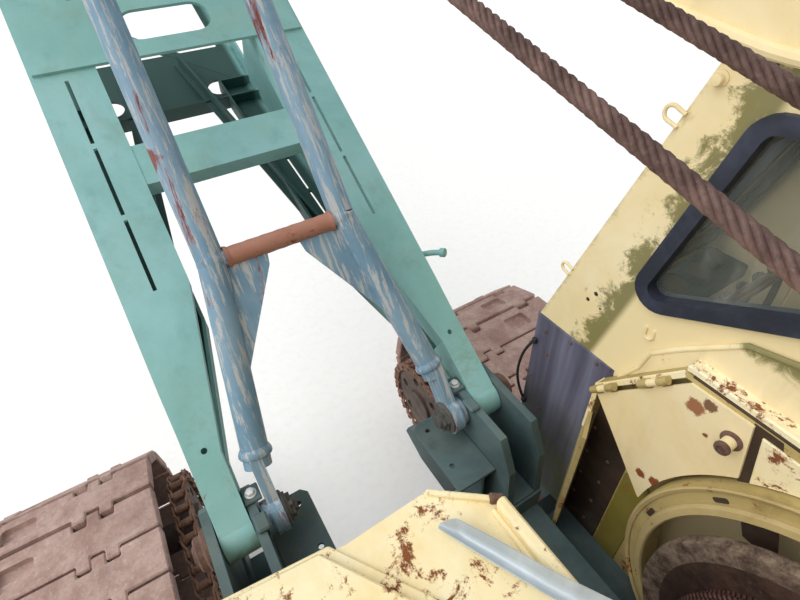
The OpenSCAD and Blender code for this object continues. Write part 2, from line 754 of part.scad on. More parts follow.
// Engine as one block
module engine_block() {
    color([0.25, 0.27, 0.28]) slab([engine_in - house_rear, engine_in - half_w, floor_z + seat],
        [engine_in - house_rear + engine_l, -girder_out - 20, floor_z + engine_h]);
}

module exhaust() {
    x = -1900;
    y = -700;
    color([0.35, 0.28, 0.24]) translate([x, y, roof_z + seat]) difference() {
        union() {
            cylinder(h = 14, r = 90);
            cylinder(h = 430, r = 42);
            translate([0, 0, 120]) cylinder(h = 220, r = 70);
        }
        translate([0, 0, 40]) cylinder(h = 400, r = 36);
    }
}

// Low gantry: two braced side plates with the axle of the hoist sheaves
module gantry() {
    color([0.90, 0.82, 0.62]) difference() {
        union() {
            on_both_sides() {
                difference() {
                    side_plate([[gantry_x - 520, cover_z + 1], [gantry_x - 60, gantry_z + 70],
                        [gantry_x + 60, gantry_z + 70], [gantry_x + 520, cover_z + 1]],
                        gantry_in, gantry_in + plate);
                    side_plate([[gantry_x - 300, cover_z + 40], [gantry_x - 40, gantry_z - 70],
                        [gantry_x + 40, gantry_z - 70], [gantry_x + 300, cover_z + 40]],
                        gantry_in - 1, gantry_in + plate + 1);
                }
                for (end = [-1, 1]) slab([gantry_x + end * gantry_reach - 40, gantry_in, floor_z + seat],
                    [gantry_x + end * gantry_reach + 40, gantry_in + plate + 30, cover_z + 30]);
            }
            for (end = [-1, 1]) slab([gantry_x + end * gantry_reach - 30, -gantry_in - 1, cover_z + 10],
                [gantry_x + end * gantry_reach + 30, gantry_in + 1, cover_z + 60]);
        }
        cross_bar(gantry_x, gantry_z, -300, 300, 30 + seat);
    }
}

// Grooved sheave about a cross axis
module sheave(x, y, z, r, w) {
    translate([x, y, z]) rotate([90, 0, 0]) rotate_extrude() polygon([[sheave_bore, -w / 2 - 4], [60, -w / 2 - 4],
        [60, -w / 5], [r - 34, -w / 5], [r, -w / 2], [r, -w / 2 + 5], [r - 16, 0], [r, w / 2 - 5],
        [r, w / 2], [r - 34, w / 5], [60, w / 5], [60, w / 2 + 4], [sheave_bore, w / 2 + 4]]);
}

module gantry_sheaves() {
    color([0.38, 0.34, 0.32]) {
        for (y = [-105, -35, 35, 105]) sheave(gantry_x, y, gantry_z, rope_sheave_r, 40);
        cross_bar(gantry_x, gantry_z, -gantry_in - plate - 20, gantry_in + plate + 20, 30);
    }
}

// Main winch drum with flanges, brake drum and shaft
module main_drum() {
    color([0.36, 0.28, 0.26]) {
        cross_bar(drum_x, drum_z, drum_right, drum_left, drum_r);
        cross_bar(drum_x, drum_z, drum_right, drum_right + flange_t, flange_r);
        cross_bar(drum_x, drum_z, drum_left - flange_t, drum_left, flange_r);
        cross_bar(drum_x, drum_z, drum_left - 1, drum_left + 80, flange_r - 135);
        cross_bar(drum_x, drum_z, guard_right - 15, 180, 45);
    }
}

module hoist_drum() {
    color([0.36, 0.28, 0.26]) {
        cross_bar(hoist_x, hoist_z, -100, 100, 110);
        for (side = [-1, 1]) cross_bar(hoist_x, hoist_z, side * 110 - 12, side * 110 + 12, 200);
        cross_bar(hoist_x, hoist_z, -190, 190, 35);
    }
}

// A place on the lid's hinged edge: along it, across the machine, into the lid
module on_lid_edge() {
    translate([lid_a.x, 0, lid_a.y]) rotate([0, -lid_turn, 0]) children();
}

// Guard beside the drum's end: open tray, closed rear part, ring round the opening, front panel
module drum_guard() {
    color([0.90, 0.82, 0.62]) {
        difference() {
            union() {
                difference() {
                    side_plate(tray_pts, guard_right, guard_left);
                    side_plate(tray_in_pts, guard_right + sheet, guard_left + 1);
                }
                slab([guard_rear, guard_left - sheet, floor_z + seat], [guard_mid, guard_left, guard_top - 1]);
            }
            cross_bar(drum_x, drum_z, guard_right - 1, guard_left + 1, guard_ring - 10);
        }
        difference() {
            cross_bar(drum_x, drum_z, guard_left - 20, guard_left + 30, guard_ring);
            cross_bar(drum_x, drum_z, guard_left - 21, guard_left + 31, guard_ring_in);
            slab([drum_x - 600, guard_left - 30, drum_z - 600], [drum_x + 600, guard_left + 40, floor_z + seat]);
        }
        translate([0, 0, floor_z + seat]) linear_extrude(panel_top - floor_z - seat)
            polygon([[guard_front - 1, guard_left - 3], panel_edge, [panel_edge.x - 11, panel_edge.y - 6],
            [guard_front - sheet, guard_left - 8]]);
        on_lid_edge() for (u = lid_eye_u) {
            for (end = [-1, 1]) {
                translate([u + end * 31 - 15, lid_axis_y, lid_axis_z]) rotate([0, 90, 0])
                    cylinder(h = 30, r = lid_eye_r);
                slab([u + end * 31 - 15, guard_left - 1, lid_axis_z - 8], [u + end * 31 + 15, lid_axis_y,
                    lid_axis_z + 1]);
            }
            translate([u - 40, lid_axis_y, lid_axis_z]) rotate([0, 90, 0]) cylinder(h = 80, r = 5);
        }
    }
}

// Lid on the guard's side, cut round beside the ring, with its hinge eyes and a knob
module guard_lid() {
    color([0.92, 0.84, 0.63]) {
        difference() {
            side_plate(lid_pts, lid_y, lid_y + lid_t);
            cross_bar(drum_x, drum_z, lid_y - 1, lid_y + lid_t + 1, lid_cut_r);
        }
        translate([knob_at.x, lid_y + lid_t - 1, knob_at.y]) rotate([-90, 0, 0]) cylinder(h = 34, r = 15);
        on_lid_edge() for (u = lid_eye_u) difference() {
            union() {
                translate([u - 15, lid_axis_y, lid_axis_z]) rotate([0, 90, 0]) cylinder(h = 30, r = lid_eye_r);
                slab([u - 15, lid_y, lid_axis_z], [u + 15, lid_y + lid_t - 1, 12]);
            }
            translate([u - 16, lid_axis_y, lid_axis_z]) rotate([0, 90, 0]) cylinder(h = 32, r = 5 + seat);
        }
    }
}

// Cab front: upright below the waist, leaning above it, with a lower and an upper window
module cab_front() {
    y0 = cab_y0;
    y1 = cab_y1;
    lean = cab_front_x - front_top_x;
    color([0.92, 0.84, 0.63]) difference() {
        union() {
            side_plate([[cab_front_x, floor_z + seat], [cab_front_x, cab_waist_z], [front_top_x, roof_under - seat],
                [front_top_x - panel, roof_under - seat], [cab_front_x - panel, cab_waist_z - 7],
                [cab_front_x - panel, floor_z + seat]], y0, y1);
            slab([cab_front_x - panel, y1 - 1, floor_z + seat], [cab_front_x, -cab_left - sheet_t - seat,
                cab_waist_z - seat]);
        }
        translate([cab_front_x, 0, cab_waist_z]) rotate([0, -cab_lean, 0])
            translate([-panel * 2, 0, 0]) rotate([90, 0, 90]) linear_extrude(panel * 4) offset(delta = seat)
            window_hole(upper_window_pts);
        translate([cab_front_x - panel * 2, 0, 0]) rotate([90, 0, 90]) linear_extrude(panel * 4)
            offset(delta = seat) window_hole(lower_window_pts);
    }
}

// A window outline with round corners
module window_hole(pts) {
    offset(r = 60, $fn = 24) offset(delta = -60) polygon(pts);
}

module left_window(y0, y1, inset) {
    translate([0, y1, 0]) rotate([90, 0, 0]) linear_extrude(y1 - y0) offset(delta = -inset)
        window_hole(left_window_pts);
}

// Cab wall beside the boom, and its plainer lower part set inwards
module cab_left_wall() {
    y1 = -cab_left;
    color([0.92, 0.84, 0.63]) {
        difference() {
            side_plate(side_wall_pts, y1 - panel, y1);
            left_window(y1 - panel - 1, y1 + 1, -seat);
        }
        slab([cab_rear_x, y1 - panel - wall_step, floor_z + seat], [sheet_rear + panel, y1 - wall_step,
            cab_waist_z + 1]);
        slab([cab_rear_x, y1 - panel - wall_step, cab_waist_z - 20], [sheet_rear - seat, y1, cab_waist_z + 1]);
        slab([sheet_rear, y1 - wall_step - 1, floor_z + seat], [sheet_rear + panel, y1 - sheet_t - seat,
            cab_waist_z + 1]);
    }
}

// Cab wall on the outer side, with the door opening
module cab_right_wall() {
    color([0.92, 0.84, 0.63]) {
        difference() {
            side_plate([[cab_rear_x, floor_z + seat], [cab_front_x, floor_z + seat], [cab_front_x, cab_waist_z],
                [front_top_x, roof_under], [cab_rear_x, roof_under]], -cab_right, -cab_right + panel);
            slab([cab_door_x, -cab_right - 1, cab_door_z], [cab_door_x + cab_door_l, -cab_right + panel + 1,
                cab_door_top]);
        }
        for (z = [0.15, 0.75]) mirror([0, 1, 0]) mirror([1, 0, 0]) hinge_post(-cab_door_x + 12, cab_right + 14,
            cab_door_z + z * (cab_door_top - cab_door_z));
    }
}

module cab_rear() {
    color([0.92, 0.84, 0.63]) difference() {
        union() {
            slab([cab_rear_x, cab_y0, floor_z + seat], [cab_rear_x + panel, cab_y1 - wall_step,
                roof_under - seat]);
            slab([cab_rear_x, cab_y1 - wall_step - 1, cab_waist_z + 1 + seat], [cab_rear_x + panel, cab_y1,
                roof_under - seat]);
        }
        translate([cab_rear_x - 1, 0, 0]) rotate([90, 0, 90]) linear_extrude(panel + 2) offset(delta = seat)
            window_hole(rear_window_pts);
    }
}

module cab_roof() {
    color([0.92, 0.84, 0.63]) slab([cab_rear_x - 20, -cab_right - 15, roof_under + seat],
        [front_top_x + 25, -cab_left + 15, cab_roof_z]);
}

// Fixed panes: left, upper front, lower front and rear
module cab_glass() {
    color([0.6, 0.7, 0.7, 0.4]) {
        left_window(-cab_left - 26, -cab_left - 20, seal_w + seat);
        translate([cab_front_x, 0, cab_waist_z]) rotate([0, -cab_lean, 0])
            translate([-26, 0, 0]) rotate([90, 0, 90]) linear_extrude(6) offset(delta = -seal_w - seat)
            window_hole(upper_window_pts);
        translate([cab_front_x - 26, 0, 0]) rotate([90, 0, 90]) linear_extrude(6) offset(delta = -seal_w - seat)
            window_hole(lower_window_pts);
        translate([cab_rear_x + 17, 0, 0]) rotate([90, 0, 90]) linear_extrude(6) offset(delta = -seal_w - seat)
            window_hole(rear_window_pts);
    }
}

// A seal: a ring as wide as seal_w inside a window's outline
module seal_ring(pts) {
    difference() {
        window_hole(pts);
        offset(delta = -seal_w) window_hole(pts);
    }
}

module window_seals() {
    color([0.12, 0.13, 0.16]) {
        translate([0, -cab_left + 14, 0]) rotate([90, 0, 0]) linear_extrude(panel + 14)
            seal_ring(left_window_pts);
        translate([cab_front_x, 0, cab_waist_z]) rotate([0, -cab_lean, 0])
            translate([-panel, 0, 0]) rotate([90, 0, 90]) linear_extrude(panel + 10)
            seal_ring(upper_window_pts);
        translate([cab_front_x - panel, 0, 0]) rotate([90, 0, 90]) linear_extrude(panel + 10)
            seal_ring(lower_window_pts);
        translate([cab_rear_x - 8, 0, 0]) rotate([90, 0, 90]) linear_extrude(panel + 8)
            seal_ring(rear_window_pts);
    }
}

// Driver's chair and the stand of the control levers
module operator_station() {
    mid = (cab_y0 + cab_y1) / 2;
    w = cab_y1 - cab_y0;
    chair_x = cab_front_x - chair_back;
    stand_x = cab_front_x - stand_back;
    levers = 6;
    top = floor_z + lever_h;
    color([0.16, 0.16, 0.17]) {
        slab([chair_x + 30, mid - w / 5, floor_z + seat], [chair_x + 330, mid + w / 5, floor_z + 330]);
        slab([chair_x, mid - w / 4, floor_z + 329], [chair_x + 460, mid + w / 4, floor_z + 430]);
        slab([chair_x - 60, mid - w / 4 + 10, floor_z + 429], [chair_x + 30, mid + w / 4 - 10, floor_z + 980]);
        slab([stand_x, mid - w * 0.35, floor_z + seat], [stand_x + 140, mid + w * 0.35, floor_z + 560]);
        for (i = [0:levers - 1]) let (y = mid + (i - (levers - 1) / 2) * w / 9) {
            tube([stand_x + 70, y, floor_z + 559], [stand_x, y, top], 9);
            translate([stand_x, y, top]) sphere(r = 20);
        }
    }
}

// Bare sheet on the cab's foot beside the boom
module side_sheet() {
    color([0.62, 0.60, 0.64]) slab([sheet_rear, -cab_left - sheet_t, frame_z],
        [cab_front_x + 8, -cab_left, cab_waist_z - seat]);
}

module cab_door() {
    g = door_gap;
    x0 = cab_door_x + g;
    x1 = cab_door_x + cab_door_l - g;
    z0 = cab_door_z + g;
    z1 = cab_door_top - g;
    color([0.92, 0.84, 0.63]) {
        difference() {
            slab([x0, -cab_right, z0], [x1, -cab_right + panel, z1]);
            slab([x0 + 90, -cab_right - 1, cab_waist_z + 60], [x1 - 90, -cab_right + panel + 1, z1 - 90]);
        }
        slab([x0 + 89, -cab_right + 17, cab_waist_z + 59], [x1 - 89, -cab_right + 23, z1 - 89]);
        for (z = [0.15, 0.75]) mirror([0, 1, 0]) mirror([1, 0, 0]) hinge_eye(-cab_door_x + 12, cab_right + 14,
            cab_door_z + z * (cab_door_top - cab_door_z));
        translate([x1 - 60, -cab_right + 1, cab_waist_z - 60]) rotate([90, 0, 0]) cylinder(h = 30, r = 14);
    }
}

// Outline of a boom leg seen square to its face, from foot to the end of the taper
module leg_outline() {
    polygon([[0, foot_y - foot_w / 2], [0, foot_y + foot_w / 2], [leg_straight + 80, foot_y + foot_w / 2],
        [kink_s * 0.6, leg_out], [taper_s, leg_out], [taper_s, leg_in], [kink_s, leg_in],
        [leg_straight, foot_y - foot_w / 2]]);
}

// One leg face: a plate with turned-down edges and a slit with stitches
module leg(slots) {
    slit_y = half_boom - 100;
    slit_l = 250;
    stitch = 20;
    difference() {
        union() {
            translate([0, 0, foot_r - boom_t]) linear_extrude(boom_t) leg_outline();
            translate([0, 0, foot_r - 70]) linear_extrude(70) difference() {
                leg_outline();
                offset(delta = -boom_t) leg_outline();
            }
        }
        for (i = [0:slots - 1]) translate([kink_s + i * (slit_l + stitch), slit_y - 6, foot_r - boom_t - 1])
            cube([slit_l, 12, boom_t + 2]);
    }
}

// A long round-ended hole across the boom, to take out of a plate
module long_hole(mid, y, l, w) {
    translate([mid, y, -1]) linear_extrude(boom_t + 2) {
        for (side = [-1, 1]) translate([0, side * (l - w) / 2]) circle(w / 2);
        square([w, l - w], center = true);
    }
}

// Upper cross plate with one long hole in its middle
module holed_plate(x0, x1, mid, hole_l, hole_w) {
    difference() {
        slab([x0, 12 - half_boom, 0], [x1, half_boom - 12, boom_t]);
        long_hole(mid, 0, hole_l, hole_w);
    }
}

// Lower cross plate with a hole near each side and a turned-up edge
module floor_plate(x0, x1, mid, hole_y, hole_l, hole_w) {
    edge = half_boom - 28;
    difference() {
        slab([x0, -edge, 0], [x1, edge, boom_t]);
        on_both_sides() long_hole(mid, hole_y, hole_l, hole_w);
    }
    slab([x0, -edge, 0], [x0 + boom_t, edge, 80]);
}

// Chord angles at the four corners of the boom, from u0 to u1
module chords(u0, u1) {
    for (y = [0, 1], z = [0, 1]) mirror([0, y, 0]) mirror([0, 0, z])
        translate([u0, half_boom, half_d]) mirror([0, 1, 0]) mirror([0, 0, 1])
        rotate([90, 0, 90]) linear_extrude(u1 - u0)
        polygon([[0, 0], [chord_w, 0], [chord_w, boom_t], [boom_t, boom_t], [boom_t, chord_w], [0, chord_w]]);
}

// Lacing bars of one bay on all four faces
module bay(u0, u1, flip) {
    y = half_boom - boom_t - 7;
    z = half_d - boom_t - 7;
    reach_z = half_d - chord_w / 2;
    reach_y = half_boom - chord_w / 2;
    s = flip ? -1 : 1;
    low = u0 + 22;
    high = u1 - 22;
    on_both_sides() strut([low, y, -s * reach_z], [high, y, s * reach_z], 16, 50);
    for (k = [-1, 1]) translate([0, 0, k * z]) rotate([90, 0, 0])
        strut([low, 0, -s * reach_y], [high, 0, s * reach_y], 16, 50);
    on_both_sides() slab([u1 - 30, y - 10, -reach_z - 7], [u1 + 30, y + 10, reach_z + 7]);
    for (k = [-1, 1]) slab([u1 - 30, -reach_y - 7, k * z - 10], [u1 + 30, reach_y + 7, k * z + 10]);
}

// Lower boom section: two tapered legs above and below, side webs, then angle lattice
module boom_butt() {
    bays = 3;
    start = taper_u;
    step = (butt_l - 60 - start) / bays;
    color([0.42, 0.66, 0.60]) in_boom() {
        difference() {
            union() {
                for (k = [0, 1]) mirror([0, 0, k]) rotate([0, -boom_taper, 0]) {
                    on_both_sides() leg(3);
                }
                rotate([0, -boom_taper, 0]) {
                    translate([0, 0, foot_r - 2]) holed_plate(1575, 1850, 1707, 320, 132);
                    translate([1100, -leg_in - 5, foot_r - 72]) cube([150, 2 * leg_in + 10, 70]);
                }
                translate([0, 0, 14 - half_d]) floor_plate(2040, 2520, 2200, 330, 220, 110);
                on_both_sides() {
                    strut([985, 330, -205], [2430, 142, -392], 14, 62);
                    strut([985, 330, -231], [2430, 142, -418], 64, 10);
                }
                on_both_sides() {
                    cross_bar(0, 0, foot_y - foot_w / 2 - 1, foot_y + foot_w / 2 + 1, foot_r + 2);
                    cross_bar(0, 0, foot_y - foot_w / 2 - lug_gap - lug_t / 2 + 1,
                        foot_y + foot_w / 2 + lug_gap + lug_t, pin_r);
                    side_plate([[0, 40], [taper_u + 30, half_d - 20], [taper_u + 30, -half_d + 20], [0, -40]],
                        half_boom - 32, half_boom - 20);
                    slab([0, foot_y - foot_w / 2 + 5, -40], [leg_straight, foot_y + foot_w / 2 - 5, 40]);
                }
            }
            on_both_sides() rotate([0, -boom_taper, 0]) translate([250, foot_y - 5, 0]) cylinder(h = 100, r = 9);
        }
        chords(taper_u - 40, butt_l - seat);
        for (i = [0:bays - 1]) bay(start + i * step, start + (i + 1) * step, i % 2 == 0);
        for (y = [-1, 1], z = [-1, 1]) translate([butt_l - 80 - seat, y * (half_boom - 45) - 40,
            z * (half_d - 45) - 40]) cube([80, 80, 80]);
    }
}

// Upper boom section: lattice, then chords that draw together to the head plates
module boom_head() {
    bays = 3;
    step = (taper_head_u - butt_l - 60) / bays;
    top_y = half_boom - 45;
    top_z = half_d - 45;
    end_u = head_u - 330;
    color([0.42, 0.66, 0.60]) in_boom() difference() {
        union() {
            chords(butt_l, taper_head_u);
            for (y = [-1, 1], z = [-1, 1]) translate([butt_l, y * (half_boom - 45) - 40,
                z * (half_d - 45) - 40]) cube([80, 80, 80]);
            for (i = [0:bays - 1]) bay(butt_l + 60 + i * step, butt_l + 60 + (i + 1) * step, i % 2 == 1);
            for (y = [-1, 1], z = [-1, 1])
                strut([taper_head_u - 50, y * top_y, z * top_z], [end_u, y * head_half_w, z * head_half_d], 80, 80);
            for (k = [1:2]) let (f = k / 3, u = taper_head_u + f * (end_u - taper_head_u),
                    y = top_y + f * (head_half_w - top_y), z = top_z + f * (head_half_d - top_z)) {
                on_both_sides() strut([u, y, -z], [u, y, z], 50, 56);
                for (s = [-1, 1]) strut([u, -y, s * z], [u, y, s * z], 44, 44);
            }
            on_both_sides() side_plate([[end_u - 120, -head_half_d - 40], [head_u - 60, -130],
                [head_u + 90, -70], [head_u + 90, 70], [head_u - 60, 110], [pendant_u + 60, pendant_v + 50],
                [pendant_u - 60, pendant_v + 50], [end_u - 120, head_half_d + 40]],
                head_half_w - head_plate / 2, head_half_w + head_plate / 2);
            for (z = [-head_half_d, head_half_d])
                slab([end_u - 100, -head_half_w, z - 25], [end_u - 20, head_half_w, z + 25]);
        }
        cross_bar(head_u, 0, -head_half_w - 50, head_half_w + 50, head_pin_r);
        cross_bar(pendant_u, pendant_v, -head_half_w - 50, head_half_w + 50, 22 + seat);
    }
}

// Sheaves and pin of the boom head
module head_sheaves() {
    color([0.38, 0.34, 0.32]) in_boom() {
        for (y = [-120, -40, 40, 120]) sheave(head_u, y, 0, sheave_r, 60);
        cross_bar(head_u, 0, -head_half_w - 40, head_half_w + 40, head_pin_r - seat);
    }
}

// Mast: two bent tubes, cross tube, fins and head plates
module mast() {
    eye_w = 36;
    color([0.42, 0.55, 0.65]) in_mast() difference() {
        union() {
            on_both_sides() {
                cross_bar(0, 0, mast_foot_y - eye_w / 2, mast_foot_y + eye_w / 2, 62);
                cross_bar(0, 0, mast_foot_y - eye_w / 2 - 16, lug_in + lug_t / 2 - 1, pin_r);
                cross_bar(0, 0, mast_foot_y, lug_in - lug_gap, pin_r + 18);
                slab([0, mast_foot_y - eye_w / 2, -40], [190, mast_foot_y + eye_w / 2, 40]);
                tube([150, mast_foot_y - 2, 0], [bend_s, mast_head_y, 0], mast_tube_r);
                translate([bend_s, mast_head_y, 0]) sphere(r = mast_tube_r + 2);
                tube([bend_s, mast_head_y, 0], [mast_l - 80, mast_head_y, 0], mast_tube_r);
                translate([0, 0, -6]) linear_extrude(12) polygon([[bend_s + 10, mast_head_y],
                    [bend_s - 10, mast_head_y - 160], [bend_s - 60, mast_head_y - 150],
                    [bend_s - 330, mast_head_y + 20]]);
                side_plate([[mast_l - 160, -50], [mast_l + 60, -60], [mast_l + 80, 0], [mast_l + 60, 60],
                    [mast_l - 160, 50]], mast_head_y - 12, mast_head_y + 12);
            }
            cross_bar(bend_s, 0, -mast_head_y, mast_head_y, cross_tube_r);
            cross_bar(mast_l - 200, 0, -mast_head_y, mast_head_y, cross_tube_r);
        }
        cross_bar(mast_l, 0, -mast_head_y - 20, mast_head_y + 20, 30 + seat);
    }
}

module mast_sheaves() {
    color([0.38, 0.34, 0.32]) in_mast() {
        for (y = [-70, 0, 70]) sheave(mast_l, y, 0, rope_sheave_r, 40);
        cross_bar(mast_l, 0, -mast_head_y - 60, mast_head_y + 60, 30);
    }
}

// Boom stays from the mast head to the boom head
module pendants() {
    y = pendant_y;
    color([0.37, 0.27, 0.25]) in_boom() on_both_sides() {
        difference() {
            translate([mast_tip_u, y, mast_tip_v]) rotate([0, -pendant_a, 0]) {
                translate([130, 0, 0]) rotate([0, 90, 0]) cylinder(h = pendant_l - 330, r = pendant_r);
                cross_bar(0, 0, -12, 12, 52);
                cross_bar(pendant_l, 0, -12, 12, 46);
                slab([20, -12, -28], [140, 12, 28]);
                slab([pendant_l - 210, -12, -28], [pendant_l - 20, 12, 28]);
                translate([120, 0, 0]) rotate([0, 90, 0]) cylinder(h = 120, r = 26);
                translate([pendant_l - 320, 0, 0]) rotate([0, 90, 0]) cylinder(h = 130, r = 26);
            }
            cross_bar(mast_tip_u, mast_tip_v, y - 30, y + 30, 30 + seat);
        }
        cross_bar(pendant_u, pendant_v, y - 38, y + 24, 22);
    }
}

carbody();
slew_ring();
side_frame();  // side_frame_left
mirror([0, 1, 0]) side_frame();  // side_frame_right
track();  // track_left
mirror([0, 1, 0]) track();  // track_right
drive_tumbler();  // drive_tumbler_left
mirror([0, 1, 0]) drive_tumbler();  // drive_tumbler_right
idler();  // idler_left
mirror([0, 1, 0]) idler();  // idler_right
drive_chain();  // drive_chain_left
mirror([0, 1, 0]) drive_chain();  // drive_chain_right
propel_shaft();
revolving_frame();
counterweight();
house(house_front);  // house_left
mirror([0, 1, 0]) house(cab_rear_x - house_gap);  // house_right
deck_cover();
engine_block();
exhaust();
gantry();
gantry_sheaves();
main_drum();
hoist_drum();
drum_guard();
guard_lid();
cab_front();
cab_left_wall();
cab_right_wall();
cab_rear();
cab_roof();
cab_glass();
window_seals();
operator_station();
side_sheet();
cab_door();
house_door();  // house_door_left
mirror([0, 1, 0]) house_door();  // house_door_right
boom_butt();
boom_head();
head_sheaves();
mast();
mast_sheaves();
pendants();
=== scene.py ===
"""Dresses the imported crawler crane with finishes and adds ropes, chains, shoes and fittings.

Metres and degrees throughout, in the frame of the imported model: +X forward, +Y left, +Z up.
"""

import json
import logging
import math
from dataclasses import dataclass, field
from enum import Enum
from typing import Callable, Sequence

import bpy
from mathutils import Matrix, Vector


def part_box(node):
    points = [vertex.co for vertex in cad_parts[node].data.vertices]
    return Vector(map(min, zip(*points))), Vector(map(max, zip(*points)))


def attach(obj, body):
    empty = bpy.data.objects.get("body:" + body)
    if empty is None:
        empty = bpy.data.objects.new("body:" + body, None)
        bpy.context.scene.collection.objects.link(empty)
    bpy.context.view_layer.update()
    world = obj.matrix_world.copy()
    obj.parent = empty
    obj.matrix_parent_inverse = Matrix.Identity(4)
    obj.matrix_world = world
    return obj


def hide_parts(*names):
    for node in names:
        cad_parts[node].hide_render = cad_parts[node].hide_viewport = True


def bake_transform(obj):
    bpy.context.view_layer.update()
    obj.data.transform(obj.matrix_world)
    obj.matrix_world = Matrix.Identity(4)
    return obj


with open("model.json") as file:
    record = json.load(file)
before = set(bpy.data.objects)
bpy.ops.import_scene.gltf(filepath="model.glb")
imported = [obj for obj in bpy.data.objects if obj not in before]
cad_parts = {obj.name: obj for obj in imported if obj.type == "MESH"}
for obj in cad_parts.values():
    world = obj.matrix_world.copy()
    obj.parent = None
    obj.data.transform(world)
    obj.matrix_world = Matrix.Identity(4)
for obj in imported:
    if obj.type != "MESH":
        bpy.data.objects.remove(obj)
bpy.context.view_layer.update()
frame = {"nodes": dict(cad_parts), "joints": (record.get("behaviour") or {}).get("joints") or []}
LOG = logging.getLogger("crane")
Colour = tuple[float, float, float]
Point = Sequence[float]


class Body(str, Enum):
    """The moving bodies of the crane that pieces ride on."""

    UNDERCARRIAGE = "undercarriage"
    UPPER = "upper"
    BOOM = "boom"
    MAST = "mast"
    DRUM = "main_drum"
    LID = "guard_lid"
    DOOR_LEFT = "house_door_left"
    DOOR_RIGHT = "house_door_right"


class Slot(str, Enum):
    """The record's material slots."""

    FRAME = "frame_paint"
    WORN = "worn_steel"
    TRACK = "track_steel"
    CHAIN = "chain_steel"
    CREAM = "cream_paint"
    DRUM = "drum_steel"
    SEAL = "seal_rubber"
    BLACK = "control_black"
    SHEET = "bare_sheet"
    BOOM = "boom_paint"
    MAST = "mast_paint"
    ROPE = "rope_steel"


class Side(Enum):
    """Left or right of the machine, as the sign of Y."""

    LEFT = 1
    RIGHT = -1


def joint(name: str) -> dict:
    """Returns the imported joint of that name."""
    return next(j for j in frame["joints"] if j["name"] == name)


def from_srgb(red: int, green: int, blue: int) -> Colour:
    """Turns a colour as seen on a screen into Blender's linear one.

    Args:
        red: Red from 0 to 255.
        green: Green from 0 to 255.
        blue: Blue from 0 to 255.

    Returns:
        The linear colour.
    """
    def channel(value: int) -> float:
        """Linear value of one channel."""
        v = value / 255
        return v / 12.92 if v <= 0.04045 else ((v + 0.055) / 1.055) ** 2.4
    return channel(red), channel(green), channel(blue)


